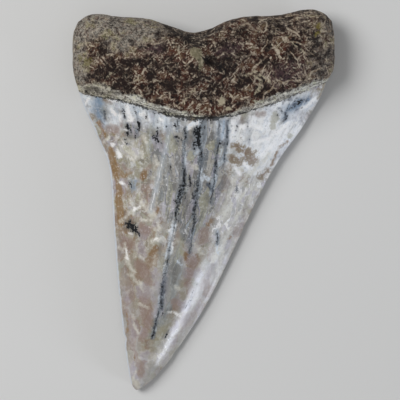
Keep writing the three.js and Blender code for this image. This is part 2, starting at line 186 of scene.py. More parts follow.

# Stains and marks on the lingual face, in millimetres: half the width of each and the places it runs
# through.
MARKS = {
    "white": (
        (0.3, (-14.4, 14.2), (-13.8, 13.4)), (0.15, (-15.2, 15.9), (-13.4, 15.4)),
        (0.4, (-11.9, 14.5), (-11.5, 12.6)), (0.2, (-13.0, 13.6), (-12.9, 12.4)),
        (0.3, (-9.9, 13.4), (-9.2, 13.6), (-8.8, 12.6)), (0.2, (-17.9, 15.9), (-18.5, 15.1)),
        (0.25, (-6.8, 12.6), (-5.9, 12.4)), (0.32, (-14.4, 8.8), (-14.2, 8.7)),
        (0.36, (-13.4, 7.7), (-13.1, 6.9)), (0.22, (-12.9, 2.8), (-12.4, 2.4)),
        (0.22, (-10.9, -1.5), (-10.2, -1.1)), (0.16, (-11.7, -5.2), (-11.2, -5.4)),
        (0.42, (-2.3, 11.3), (-0.9, 12.1)), (0.12, (-12.3, 11.1), (-11.8, 10.9)),
        (0.35, (5.7, 11.2), (7.7, 11.8), (9.1, 11.2)), (0.3, (7.7, 9.0), (10.5, 9.8), (13.3, 11.8)),
        (0.3, (15.5, 14.1), (17.6, 16.0)), (0.3, (9.1, 7.0), (10.5, 8.4)),
        (0.3, (5.2, 4.9), (5.7, 4.2)), (0.3, (6.3, 5.6), (6.9, 5.2)),
        (0.1, (-12.3, -7.6), (-12.1, -8.4), (-12.0, -9.2)), (0.12, (-8.0, -6.4), (-7.4, -6.1)),
        (0.1, (-5.5, -17.6), (-4.6, -17.7), (-3.8, -18.2)), (0.16, (-6.1, -10.2), (-6.0, -11.0)),
        (0.17, (-5.3, -4.9), (-4.6, -4.5), (-5.0, -6.7), (-5.5, -8.6)),
        (0.1, (-1.6, -3.9), (-1.6, -5.1)), (0.1, (-2.9, -4.6), (-2.5, -5.2)),
    ),
    "cream": (
        (0.25, (-9.9, 7.7), (-9.7, 7.0)), (0.2, (-9.4, 10.0), (-8.9, 9.2)),
        (0.2, (-12.0, 6.7), (-11.1, 6.1)), (0.22, (-11.9, -2.1), (-9.7, -0.9)),
        (0.2, (-13.2, -3.3), (-12.3, -2.7)),
        (0.26, (-12.5, -7.0), (-12.1, -8.2), (-12.0, -9.6), (-11.6, -10.6), (-10.8, -11.4)),
        (0.3, (-8.3, -6.6), (-7.2, -6.0)), (0.16, (-5.6, -17.5), (-4.6, -17.6), (-3.7, -18.3)),
        (0.4, (-11.6, 7.6), (-10.6, 6.8)), (0.3, (-7.6, 6.6), (-7.2, 5.4)),
        (0.4, (-1.6, 5.3), (-1.1, 5.0)), (0.4, (-8.8, -1.6), (-7.9, -2.4)),
        (0.4, (-9.9, -0.4), (-9.2, -1.0)), (0.18, (-15.3, 9.5), (-15.0, 9.8)),
        (0.18, (-11.9, 0.2), (-11.6, -0.3)), (0.15, (-13.6, 3.2), (-12.9, 2.7)),
        (0.16, (-11.8, -11.9), (-11.0, -12.1), (-10.5, -13.1)),
        (0.2, (-10.0, -12.9), (-9.7, -14.1)), (0.2, (-9.6, -3.1), (-8.5, -3.1)),
        (0.12, (-10.8, -9.0), (-10.0, -8.6), (-9.3, -9.2)), (0.14, (-10.0, -16.5), (-8.7, -17.0)),
        (0.18, (-11.2, -18.2), (-11.0, -19.6), (-10.6, -20.8)),
        (0.15, (-4.6, -13.7), (-3.8, -14.1)), (0.24, (-1.8, -6.5), (-1.0, -7.4), (-0.4, -8.4)),
        (0.12, (-10.6, -27.2), (-11.2, -28.6)), (0.4, (-10.3, -29.3), (-10.8, -28.8)),
        (0.16, (-13.6, -7.4), (-12.6, -7.8)), (0.35, (-6.7, -4.5), (-7.1, -3.9)),
        (0.2, (3.3, -6.5), (2.7, -9.4), (2.1, -11.0)), (0.14, (4.3, -4.7), (3.9, -5.9)),
        (0.5, (2.5, -7.6), (1.6, -9.2)), (0.25, (5.9, 4.9), (4.6, 2.6)),
        (0.2, (7.2, 4.6), (5.9, 2.2)), (0.16, (4.7, 1.9), (3.9, 0.2)),
        (0.35, (8.6, 5.8), (7.6, 4.2)), (0.2, (6.5, 1.1), (5.4, -0.9)),
        (0.3, (10.2, 7.6), (9.2, 6.2)), (0.18, (4.4, -0.6), (3.4, -2.6)),
        (0.2, (5.6, -2.0), (4.8, -3.6)),
    ),
    "rose": (
        (0.3, (-12.8, 12.5), (-12.9, 11.7)), (0.5, (-15.0, 11.1), (-13.7, 11.1)),
        (0.34, (-12.7, 5.3), (-12.4, 4.9)), (0.5, (-9.4, 1.9), (-9.0, 2.3)),
        (0.4, (-8.9, 4.8), (-8.5, 5.2)), (0.25, (-12.4, 1.4), (-12.4, 0.6)),
        (0.3, (10.0, 4.8), (9.1, 3.5)), (0.4, (9.4, 13.6), (8.3, 13.4)),
        (0.6, (-1.3, -9.6), (-2.4, -12.9)), (0.8, (0.3, -4.9), (0.1, -6.3)),
        (0.7, (-12.6, -6.7), (-11.6, -6.9)), (0.9, (-10.0, -10.2), (-9.3, -11.4)),
        (0.7, (-9.6, -4.5), (-8.7, -4.7)), (0.6, (-8.9, -12.5), (-8.3, -12.9)),
        (0.8, (-9.3, -15.9), (-8.9, -18.8)), (0.6, (-9.2, -20.4), (-9.6, -21.8)),
        (0.5, (-4.6, -16.1), (-4.2, -16.8)), (0.5, (-9.4, -25.8), (-9.9, -27.6)),
        (0.5, (1.3, -14.1), (0.5, -14.9)),
    ),
    "ochre": (
        (0.2, (-16.6, 12.4), (-16.1, 11.3), (-15.7, 10.0)),
        (0.55, (-14.6, 8.0), (-13.9, 5.0), (-13.5, 2.5), (-13.3, -0.5), (-13.1, -3.4)),
        (0.24, (-12.9, 4.3), (-12.4, 3.7), (-11.6, 4.3)), (0.4, (-9.4, 4.3), (-9.5, 3.5)),
        (0.26, (-7.2, -1.5), (-7.5, -2.1)), (0.2, (-13.0, -3.5), (-13.0, -4.0)),
        (0.16, (-13.1, -2.2), (-13.2, -2.7)), (0.5, (-7.5, -7.4), (-8.1, -8.4)),
        (0.35, (-2.6, -8.6), (-2.7, -9.2)), (0.04, (-11.0, -24.5), (-10.9, -25.1)),
        (0.2, (0.5, -3.9), (1.3, -2.9)), (0.22, (4.1, -6.3), (4.3, -5.9)),
        (0.2, (11.4, 6.6), (11.9, 7.6)), (0.16, (12.2, 8.2), (13.1, 9.1)),
        (0.3, (10.5, 5.5), (11.1, 6.3)), (0.08, (-12.3, -18.0), (-12.0, -21.0)),
        (0.45, (18.0, 27.1), (18.1, 27.3)), (0.35, (17.9, 26.0), (18.0, 26.1)),
    ),
    "umber": (
        (0.6, (5.3, 8.5), (5.6, 7.8)), (1.0, (6.9, 7.2), (7.6, 6.4)),
        (0.45, (6.0, 7.8), (6.5, 7.5)), (0.65, (4.6, 6.4), (5.4, 5.9)),
        (0.15, (4.3, 5.5), (4.3, 4.8)), (0.3, (9.9, 4.6), (9.1, 3.6)),
        (0.4, (6.0, 4.0), (6.8, 3.2)),
    ),
    "shadow": (
        (0.15, (1.5, 8.9), (2.0, 8.5)), (0.2, (2.5, 9.0), (3.2, 8.6)),
        (0.8, (-3.1, 0.5), (-2.5, -2.2)), (0.35, (0.5, 0.6), (1.1, -0.2)),
        (0.3, (-4.3, 2.0), (-4.0, 0.6)), (0.3, (-2.0, 2.6), (-1.6, 1.0)),
        (0.4, (-4.3, -10.6), (-4.6, -12.6)), (0.42, (-4.7, 12.5), (-3.4, 12.2)),
        (0.3, (-8.7, 3.8), (-8.5, 2.9)), (0.5, (-8.0, 8.4), (-7.8, 6.8)),
        (0.3, (-1.6, 10.6), (-1.7, 9.6)), (0.25, (-7.9, 10.9), (-7.6, 10.2)),
        (0.3, (-12.2, 10.4), (-11.3, 9.9)), (0.3, (-7.4, 7.2), (-7.1, 6.0)),
        (0.2, (13.0, 12.9), (12.2, 12.1)), (0.25, (-6.8, -6.8), (-6.9, -8.6)),
    ),
    "moss": (
        (0.5, (-12.1, 8.2), (-11.4, 7.4)), (0.3, (-10.3, 0.5), (-10.4, 0.0)),
        (0.3, (-13.8, 0.5), (-13.7, -1.2)), (0.26, (-10.6, 6.1), (-10.3, 5.3)),
        (0.26, (-9.5, -2.3), (-9.4, -2.7)), (0.5, (11.2, 13.5), (11.0, 11.5)),
        (0.5, (1.0, 8.2), (1.6, 9.0)), (0.4, (-2.0, 7.6), (-2.1, 6.4)),
        (0.25, (6.6, 4.2), (7.0, 3.8)), (0.25, (6.6, 2.5), (7.0, 2.2)),
        (0.4, (-3.4, -8.0), (-3.0, -8.5)), (0.16, (13.5, 9.8), (13.8, 10.4)),
        (0.2, (6.9, -0.8), (7.2, -1.7)), (0.4, (-19.6, 22.1), (-19.5, 22.3)),
        (0.5, (-18.4, 21.6), (-18.0, 21.6)),
    ),
    "frost": (
        (0.34, (-4.7, -3.6), (-5.2, -6.2), (-5.7, -8.8)), (0.06, (-4.4, -9.4), (-3.6, -10.2)),
        (0.2, (-6.0, -10.2), (-6.1, -11.8)), (0.24, (-3.1, 7.8), (-2.8, 5.6)),
        (0.45, (-2.3, 11.4), (-0.9, 12.2)), (0.25, (2.9, 12.0), (2.7, 9.4)),
        (0.18, (3.0, 8.4), (2.6, 5.6)), (0.3, (0.2, 3.4), (0.8, 3.1)),
        (0.2, (2.3, -4.6), (2.3, -8.2)), (0.2, (-6.9, -15.2), (-7.1, -16.8)),
        (0.4, (-6.0, 12.4), (-5.7, 11.2)), (0.12, (-0.2, 4.6), (-0.7, 1.0)),
        (0.2, (-6.9, -17.5), (-7.2, -18.5)), (0.14, (-7.4, -20.0), (-7.6, -20.4)),
        (0.2, (-4.0, 0.4), (-3.4, -0.2)), (0.16, (-0.9, 7.6), (-1.0, 6.2)),
    ),
    "navy": (
        (0.2, (2.0, 5.6), (1.8, 4.3)), (0.3, (0.6, 2.4), (1.3, 1.8)), (0.1, (5.2, 2.4), (5.4, 1.4)),
        (0.15, (3.7, 12.4), (3.85, 9.2)), (0.12, (3.4, 7.9), (3.2, 5.2)),
        (0.2, (13.8, 14.9), (15.4, 15.4)), (0.25, (12.9, 13.6), (12.7, 12.6)),
        (0.15, (-15.5, 13.9), (-15.4, 12.6)), (0.16, (11.9, 14.6), (12.4, 13.8)),
        (0.16, (-2.8, 11.6), (-2.7, 9.9)), (0.1, (12.6, 15.4), (13.8, 15.9)),
        (0.16, (-6.2, -12.6), (-6.4, -14.4)), (0.26, (-6.4, -14.4), (-6.6, -17.0)),
        (0.18, (-7.4, -19.0), (-7.6, -19.8)), (0.2, (-7.7, -20.7), (-8.0, -21.6)),
        (0.12, (15.9, 15.3), (16.9, 16.3)), (0.08, (14.4, 13.9), (15.6, 14.3)),
    ),
    "soot": (
        (0.3, (-12.0, 11.6), (-11.6, 11.3)), (0.3, (-11.9, 10.6), (-11.5, 10.2)),
        (0.16, (-11.4, 11.6), (-11.3, 10.2)), (0.16, (-12.2, 9.6), (-11.8, 8.9)),
        (0.3, (-10.3, 12.2), (-10.2, 11.2)), (0.16, (-10.4, 10.8), (-10.5, 10.0)),
        (0.45, (-7.6, 9.8), (-7.3, 9.4)), (0.22, (-7.1, 11.3), (-6.9, 10.2)),
        (0.16, (-6.8, 9.2), (-6.6, 8.4)), (0.14, (-11.4, 3.0), (-11.2, 1.9)),
        (0.0, (-0.8, -13.2), (-1.6, -15.0), (-2.6, -16.8)),
        (0.22, (-4.4, 9.8), (-3.9, 9.9), (-3.7, 9.2), (-4.2, 8.9)),
        (0.2, (-2.9, 11.3), (-2.6, 9.3)), (0.1, (-8.3, 4.4), (-8.1, 4.3)),
        (0.12, (-5.2, 5.2), (-5.1, 4.5)), (0.12, (-3.5, 4.4), (-3.2, 4.0)),
        (0.1, (-10.8, 14.6), (-10.4, 12.4)), (0.1, (-7.9, 13.9), (-7.3, 12.5)),
        (0.06, (-12.6, 14.6), (-12.3, 13.0)), (0.08, (-9.0, 13.9), (-8.9, 12.7)),
        (0.06, (-15.5, 14.0), (-15.4, 12.6)), (0.1, (-5.6, 12.0), (-5.5, 11.0)),
        (0.35, (-3.7, 0.9), (-4.2, -0.3)), (0.3, (-3.2, 3.2), (-3.3, 2.0)),
        (0.2, (-2.9, 1.0), (-3.0, 0.2)), (0.2, (-2.3, 3.6), (-2.1, 2.2)),
        (0.12, (-0.9, 2.2), (-0.8, 1.7)), (0.14, (-0.6, 8.0), (-0.5, 6.2)),
        (0.5, (-0.8, 11.0), (-0.6, 9.8), (-0.9, 8.8)), (0.2, (0.0, 11.4), (0.1, 9.4)),
        (0.16, (-1.7, 9.2), (-1.4, 8.0)), (0.0, (6.8, 12.2), (7.0, 10.8)),
        (0.06, (7.2, 10.6), (7.0, 9.6)), (0.0, (5.2, 11.8), (5.1, 10.9)),
        (0.1, (5.3, 1.8), (5.4, 1.6)), (0.1, (-3.2, 5.6), (-3.2, 1.4)),
        (0.1, (3.8, 11.8), (3.9, 10.0), (3.5, 8.4)), (0.14, (2.3, 8.9), (3.3, 8.7)),
        (0.12, (-4.6, 11.6), (-3.9, 11.3)), (0.2, (-1.3, 11.0), (-1.2, 10.2)),
        (0.1, (0.1, 13.0), (0.2, 12.2)), (0.1, (2.3, 10.9), (2.4, 9.4)),
        (0.08, (1.9, 5.2), (1.8, 4.6)), (0.14, (0.9, 1.9), (1.0, 2.3)),
        (0.14, (-1.3, 1.4), (-1.1, -1.1)), (0.15, (13.4, 14.3), (14.2, 14.6)),
        (0.15, (14.9, 15.0), (15.7, 15.6)), (0.12, (14.2, 15.6), (14.8, 15.9)),
        (0.12, (13.1, 13.6), (12.7, 12.4)), (0.1, (12.2, 14.4), (12.5, 13.6)),
        (0.1, (11.6, 13.9), (11.4, 13.2)), (0.6, (-11.7, -3.6), (-11.7, -4.2)),
        (0.6, (-11.2, -4.1), (-10.9, -4.7)), (0.35, (-10.6, -5.1), (-10.2, -5.5)),
        (0.18, (-2.3, -4.7), (-2.6, -4.9)), (0.12, (-3.0, -5.5), (-3.1, -6.3)),
        (0.18, (-5.8, -17.4), (-5.2, -17.3)), (0.14, (-6.3, -17.8), (-6.1, -18.2)),
        (0.13, (-5.6, -20.8), (-6.0, -21.5)), (0.2, (-7.7, -21.0), (-8.0, -21.5)),
        (0.16, (-7.3, -19.2), (-7.5, -19.8)), (0.18, (-6.3, -13.3), (-6.4, -14.1)),
        (0.17, (-6.6, -15.7), (-6.8, -17.0)), (0.12, (-1.4, -1.2), (-1.5, -3.1)),
        (0.12, (-2.0, -6.9), (-2.1, -8.2)), (0.1, (2.3, -5.3), (2.2, -6.7)),
        (0.18, (-4.4, -1.2), (-4.0, -3.3)), (0.12, (-3.3, 7.4), (-3.4, 5.3)),
    ),
    "chalk": (
        (0.55, (2.75, 15.35), (2.85, 15.5)), (0.3, (3.8, 14.2), (4.1, 14.2)),
        (0.1, (-0.6, 23.0), (-0.2, 22.2), (-0.2, 21.2)),
        (0.16, (6.7, 19.5), (8.6, 19.8), (9.8, 19.0), (10.6, 18.5)),
        (0.3, (-12.7, 13.9), (-11.7, 13.6)),
        (0.15, (8.1, 19.3), (9.0, 18.5), (8.9, 17.5), (8.0, 16.6)),
        (0.2, (-10.6, 18.7), (-10.1, 18.8)), (0.12, (15.8, 29.2), (17.0, 28.8), (18.3, 29.0)),
        (0.1, (13.7, 25.1), (14.8, 23.9), (15.9, 23.0)), (0.14, (11.3, 26.0), (11.6, 25.7)),
        (0.12, (-14.6, 19.8), (-15.2, 19.2)), (0.12, (-1.9, 16.6), (-1.2, 17.4)),
        (0.14, (-3.0, 15.0), (-2.2, 16.0)),
    ),
    "khaki": (
        (0.85, (-1.3, 22.9), (-1.0, 22.5)), (0.4, (-0.6, 22.2), (-0.2, 21.4)),
        (0.25, (-0.3, 21.4), (-0.5, 20.4)),
    ),
    # Hollows: carved into the root and painted near-black, partly dark spills and partly painted shade
    # in the recesses.
    "hollow": (
        (0.9, (1.0, 21.8), (1.3, 21.5)), (0.3, (9.3, 18.6), (9.6, 18.2)),
        (0.4, (-6.4, 13.7), (-5.5, 13.3)), (0.15, (-17.8, 24.6), (-15.8, 24.6)),
        (0.3, (2.4, 20.6), (3.4, 20.2)), (0.2, (12.6, 22.6), (13.6, 22.0)),
    ),
}

# Cracks in the enamel, as points down each: open ones on the lingual and on the labial face.
LINGUAL_CRACKS = (
    ((-4.0, 12.6), (-4.2, 11.0)),
    ((-2.8, 10.6), (-3.1, 6.3), (-3.0, 2.0), (-3.8, 0.8), (-4.4, -3.5), (-5.2, -7.0), (-5.9, -11.3),
     (-6.7, -16.2), (-7.2, -18.6), (-8.0, -21.6)),
    ((-0.15, 12.6), (-0.25, 11.6), (-0.7, 10.7), (-0.2, 6.9), (-0.7, 3.3), (-1.3, -1.4), (-1.8, -5.5),
     (-2.1, -8.6)),
    ((2.4, 12.4), (2.3, 9.1), (1.9, 5.2), (1.4, 0.3), (1.2, -0.6)),
    ((3.9, 12.9), (3.6, 8.7), (3.3, 6.3)),
    ((2.2, -5.2), (2.3, -7.1)),
)
LABIAL_CRACKS = (
    ((-6.0, 14.5), (-6.6, 6.0), (-8.0, -4.0), (-8.6, -12.0)),
    ((0.5, 14.0), (-0.8, 4.0), (-3.6, -9.0), (-6.0, -20.0)),
    ((6.5, 15.0), (4.9, 8.0), (3.0, -1.0)),
)

# A thin healed crack, filled white.
SCAR = ((-5.2, 11.4), (-5.5, 9.6), (-6.0, 7.6), (-6.7, 4.8), (-7.5, 1.8), (-8.3, -1.6))

# Chips out of the cutting edges: where along Y, how deep, half how long, and on which side.
NICKS = ((-15.4, 0.18, 0.35, -1), (-21.9, 0.3, 0.5, -1), (-4.0, 0.12, 0.4, 1), (-24.0, 0.15, 0.5, 1))

# The crown's streaks are drawn in "flow", where the crown is unrolled to one width from edge to edge
# and pressed together along its length, and the two faces lie far apart.
FLOW_HALF_WIDTH, FLOW_PRESS, FLOW_APART = 14, 0.13, 30

# How far noise moves the borders of the marks and the two faces' cracks.
MARK_WANDER, LINGUAL_WANDER, LABIAL_WANDER = 0.22, 0.09, 0.45

FAR = 5.0  # stands for a place out of reach of a mark that the labial face doesn't have


# ---------------------------------------------------------------- numbers on arrays

def ease(start, end, x):
    """0 up to start, 1 from end on, whichever way round they lie, and a smooth S between."""
    share = np.clip((x - start) / (end - start), 0, 1)
    return share * share * (3 - 2 * share)


def dome(x):
    """A quarter circle: up steeply from 0 at x = 0, level at 1 from x = 1 on."""
    return np.sqrt(1 - (1 - np.clip(x, 0, 1)) ** 2)


def hump(x, middle, spread):
    """A bell curve, 1 at the middle."""
    return np.exp(-(((x - middle) / spread) ** 2))


def mix(a, b, share):
    return a + (b - a) * share


def crowded(count, share):
    """count + 1 places from 0 to 1, the given share of the way to a half cosine's spacing."""
    q = np.linspace(0, 1, count + 1)
    return mix(q, 0.5 - 0.5 * np.cos(np.pi * q), share)


# Whole numbers that hash a lattice place and a seed to a random value.
AXIS_KEYS, SEED_KEY, STIR_KEY = (73856093, 19349663, 83492791), 2654435761, 1274126177


def noise(points, size, seed):
    """A smooth random field from -1 to 1. Each corner of a lattice of cubes of this size gets a random
    value, hashed from its whole-number place, and a point blends its cube's eight with S curves."""
    cell, inside = np.divmod(points / size, 1)
    cell = cell.astype(np.int64)
    inside = inside * inside * (3 - 2 * inside)
    total = np.zeros(len(points))
    for corner in np.ndindex(2, 2, 2):
        place = cell + corner
        key = (place * AXIS_KEYS).sum(axis=1) + seed * SEED_KEY
        key = (key ^ (key >> 13)) * STIR_KEY & 0x7FFFFFFF
        key = (key ^ (key >> 16)) & 0xFFFF
        total += (key / 32767.5 - 1) * np.abs(1 - np.array(corner) - inside).prod(axis=1)
    return total


def layered(points, size, seed, octaves):
    """Noise with finer and fainter layers added, each half the size and strength of the last."""
    layers = [noise(points, size / 2**i, seed + i) / 2**i for i in range(octaves)]
    return np.sum(layers, axis=0)


def to_line(x, y, line):
    """Distance in plan from each point to the nearest stretch of the line."""
    nearest = np.full(len(x), np.inf)
    for (sx, sy), (ex, ey) in zip(line[:-1], line[1:]):
        dx, dy = ex - sx, ey - sy
        share = np.clip(((x - sx) * dx + (y - sy) * dy) / (dx * dx + dy * dy), 0, 1)
        nearest = np.minimum(nearest, np.hypot(x - sx - share * dx, y - sy - share * dy))
    return nearest


def nearest_line(x, y, lines):
    return np.min([to_line(x, y, line) for line in lines], axis=0)


def inside_strokes(x, y, strokes):
    """How deep each point lies inside the nearest stroke, in millimetres, negative outside."""
    return np.max([half_width - to_line(x, y, line) for half_width, *line in strokes], axis=0)


def inside_ellipses(x, y, ellipses):
    """The same for ellipses, to first order: what is left of the way out to the rim, in shares of
    the ellipse, over how fast that share grows."""
    deepest = np.full(len(x), -np.inf)
    for middle_x, middle_y, reach, breadth, angle in ellipses:
        c, s = np.cos(np.radians(angle)), np.sin(np.radians(angle))
        along = ((x - middle_x) * c + (y - middle_y) * s) / reach
        across = ((y - middle_y) * c - (x - middle_x) * s) / breadth
        share = np.hypot(along, across)
        growth = np.hypot(along / reach, across / breadth)
        depth = (1 - share) * share / np.maximum(growth, 1e-6)
        deepest = np.maximum(deepest, np.minimum(depth, breadth))
    return deepest


# ---------------------------------------------------------------- the tooth's form

def smooth_line(knots, places):
    """Points on a smooth curve through the knots, at shares of its length. The curve is a cubic
    between each two knots, whose slopes are half the step between the neighbouring knots."""
    k = np.array(knots) * (WIDTH / 2, LENGTH / 2)
    padded = np.vstack([k[:1], k, k[-1:]])
    t = np.linspace(0, len(k) - 1, CURVE_POINTS)
    i = np.minimum(t.astype(int), len(k) - 2)
    w = (t - i)[:, None]
    before, start, end, after = padded[i], padded[i + 1], padded[i + 2], padded[i + 3]
    leaving, arriving = (end - before) / 2, (after - start) / 2
    bend = 2 * start - 2 * end + leaving + arriving
    swell = -3 * start + 3 * end - 2 * leaving - arriving
    line = ((bend * w + swell) * w + leaving) * w + start
    run = np.concatenate([[0], np.cumsum(np.hypot(*np.diff(line, axis=0).T))])
    return np.stack([np.interp(places * run[-1], run, line[:, n]) for n in (0, 1)], axis=-1)


def patch(start, end, left, right, across, along):
    """A Coons patch: the rulings from start to end and from left to right added, less the plane
    through the four corners."""
    a, b = across[None, :, None], along[:, None, None]
    rows = mix(smooth_line(start, across)[None], smooth_line(end, across)[None], b)
    columns = mix(smooth_line(left, along)[:, None], smooth_line(right, along)[:, None], a)
    corners = [np.array(c) * (WIDTH / 2, LENGTH / 2) for c in (start[0], start[-1], end[0], end[-1])]
    return rows + columns - mix(mix(corners[0], corners[1], a), mix(corners[2], corners[3], a), b)


def edge_height(from_neck):
    """Height of the outline: the middle of the root's rim, then the gently waving cutting edge."""
    wave = EDGE_WAVE * np.sin(2 * np.pi * from_neck / CROWN_LENGTH)
    wave *= ease(0, 6, from_neck) * ease(CROWN_LENGTH, CROWN_LENGTH - 8, from_neck)
    return mix(ROOT_EDGE, CROWN_EDGE + wave, ease(-4, 5, from_neck))


def lingual_height(s):
    """The rounded face. On the root it is a rim that rises as a quarter circle to a crest of two
    lobes and a boss, with the foramen's pit, a knob of sediment, a furrow, lumps and the rolled
    border at the neck. On the crown it is a lens over each row, lower towards the tip."""
    edge = edge_height(s["from_neck"])
    side = np.abs(s["side"])
    lens = np.sin(np.pi / 2 * (1 - side)) ** LENS_POWER
    section = mix(np.sqrt(1 - side**5), lens, ease(-5, 4, s["from_neck"]))
    fall = (s["to_tip"] / CROWN_LENGTH) ** TAPER_POWER
    crown = edge + (CROWN_RISE - edge) * fall * section

    x, y = s["x"], s["y"]
    lobes = LOBE_SWELL * sum(hump(s["side"], middle, 0.2) for middle in LOBES)
    crest = LOBE_RISE + BOSS_RISE * hump(s["side"], BOSS, 0.4) + lobes
    pit = PIT_DEPTH * hump(x, PIT[0], 1.3) * hump(y, PIT[1], 1.4)
    knob = KNOB_RISE * ease(0, 0.8, hump(x, KNOB[0], 1.0) * hump(y, KNOB[1], 1.7))
    furrow = FURROW_DEPTH * hump(x, FURROW, 2.4) * ease(23, 26, y)
    broad = BROAD_LUMPS * np.sin(0.55 * x + 0.9) * np.sin(0.62 * y + 0.4)
    small = SMALL_LUMPS * np.sin(1.3 * x + 0.3 * y) * np.sin(1.25 * y - 0.25 * x + 1)
    slope = ease(-0.68 * ROOT_DEPTH, 0, s["from_neck"])
    crest = mix(crest - pit + knob - furrow, CROWN_RISE, slope)
    border = ease(0, -0.25, s["from_neck"]) * ease(-3, -NECK_RIM_HEIGHT, s["from_neck"])
    lumps = (broad + small) * ease(0, -2, s["from_neck"])
    rounding = dome(s["from_base"] / RIM_ROUND) * section
    root = edge + (crest + NECK_RIM * border + lumps - edge) * rounding
    return np.where(s["from_neck"] >= 0, crown, root)


def labial_height(s):
    """The level face, flat where the tooth lies on it. The enamel's foot stands off the root, and
    past the foot the root bulges down to the same level and then turns up."""
    edge = edge_height(s["from_neck"])
    side = np.abs(s["side"])
    section = mix(np.sqrt(1 - side**7), 1 - side**2.6, ease(-3, 4, s["from_neck"]))
    foot = ease(0, -0.3, s["from_neck"]) * ease(-5, -2, s["from_neck"])
    lift = ROOT_LIFT * ease(-8, -ROOT_DEPTH, s["from_neck"])
    level = (LABIAL_STEP + RESTING_BULGE) * foot + lift - RESTING_BULGE
    rounding = dome(s["from_base"] / UNDER_ROUND) * dome(s["to_tip"] / TIP_ROUND)
    return np.maximum(0, edge - (edge - level) * section * rounding)


def sheet(neck, columns, height):
    """One face of the tooth: a grid from the base to the tip, with the neck on a row of its own.
    Returns each point's place and the measures that the form and the finish read."""
    across = crowded(columns, 0.6)
    root_rows, crown_rows = crowded(ROOT_ROWS, 0.7), crowded(CROWN_ROWS, 0.4)[1:]
    root = patch(BASE, neck, ROOT_LEFT, ROOT_RIGHT, across, root_rows)
    crown = patch(neck, TIP, CROWN_LEFT, CROWN_RIGHT, across, crown_rows)
    plan = np.concatenate([root, crown])
    rows = len(plan)
    on_root = np.arange(rows) <= ROOT_ROWS
    from_neck = np.concatenate([(root_rows - 1) * ROOT_DEPTH, crown_rows * CROWN_LENGTH])
    half_width = np.hypot(*(plan[:, -1] - plan[:, 0]).T) / 2

    def spread(values):
        return np.repeat(values[:, None], columns + 1, axis=1)

    measures = {
        "x": plan[..., 0],
        "y": plan[..., 1],
        "side": np.repeat((2 * across - 1)[None], rows, axis=0),
        "from_neck": spread(from_neck),
        "from_base": spread(np.where(on_root, from_neck + ROOT_DEPTH, ROOT_DEPTH)),
        "to_tip": spread(np.where(on_root, CROWN_LENGTH, CROWN_LENGTH - from_neck)),
        "half_width": spread(half_width),
    }
    measures["z"] = height(measures)
    return measures


def sheet_faces(numbers, middles_base, middles_tip):
    """Quads over a grid of vertex numbers. The first and the last row of faces take one more corner
    each, the middle of the other sheet's finer edge, so that the seam is closed."""
    quads = np.stack(
        [numbers[:-1, :-1], numbers[:-1, 1:], numbers[1:, 1:], numbers[1:, :-1]], axis=-1
    )
    inner = quads[1:-1].reshape(-1, 4)
    first, last = quads[0], quads[-1]
    base = np.stack([first[:, 0], middles_base, first[:, 1], first[:, 2], first[:, 3]], axis=-1)
    tip = np.stack([last[:, 0], last[:, 1], last[:, 2], middles_tip, last[:, 3]], axis=-1)
    return inner, np.concatenate([base, tip])


def joined_sheets():
    """The two faces welded along the outline: corner lists and each vertex's measures."""
    upper = sheet(LINGUAL_NECK, COLUMNS, lingual_height)
    lower = sheet(LABIAL_NECK, COLUMNS // 2, labial_height)
    rows = ROOT_ROWS + CROWN_ROWS + 1
    top = np.arange(rows * (COLUMNS + 1)).reshape(rows, COLUMNS + 1)
    inner_shape = (rows - 2, COLUMNS // 2 - 1)
    under = top[:, ::2].copy()
    under[1:-1, 1:-1] = top.size + np.arange(np.prod(inner_shape)).reshape(inner_shape)

    quads = np.stack([top[:-1, :-1], top[1:, :-1], top[1:, 1:], top[:-1, 1:]], axis=-1).reshape(-1, 4)
    under_quads, seam = sheet_faces(under, top[0, 1::2], top[-1, 1::2])
    measures = {
        key: np.concatenate([upper[key].ravel(), lower[key][1:-1, 1:-1].ravel()]) for key in upper
    }
    measures["lingual"] = (np.arange(len(measures["x"])) < top.size).astype(float)
    return np.concatenate([quads, under_quads]), seam, measures


def unit_normals(points, quads):
    """Unit normals at the points: each quad's diagonals crossed, added up at its corners."""
    diagonals = points[quads[:, 2]] - points[quads[:, 0]], points[quads[:, 3]] - points[quads[:, 1]]
    facing = np.cross(*diagonals)
    total = np.zeros_like(points)
    for corner in range(4):
        for axis in range(3):
            total[:, axis] += np.bincount(quads[:, corner], facing[:, axis], len(points))
    return total / np.linalg.norm(total, axis=1, keepdims=True)


def dust_at(points, m):
    """How thickly dust lies at each point of the root: along its base, where it is faint from the
    middle on to the right, and over its two ends."""
    x = m["x"]
    depth = 1.6 + 3.2 * ease(-3, -12, x) + 2.0 * ease(5, 12, x)
    base = ease(1.6, -1.6, m["from_base"] - depth + 1.2 * layered(points, 2.2, 41, 3))
    base *= 1 - 0.85 * ease(-10, -4, x) + 0.15 * ease(8, 14, x)
    left = ease(-17.6, -20.0, x + layered(points, 2.5, 51, 2))
    right = 0.5 * ease(14.0, 20.0, x + 1.5 * layered(points, 2.5, 52, 2))
    return np.maximum(base, np.maximum(left, right))


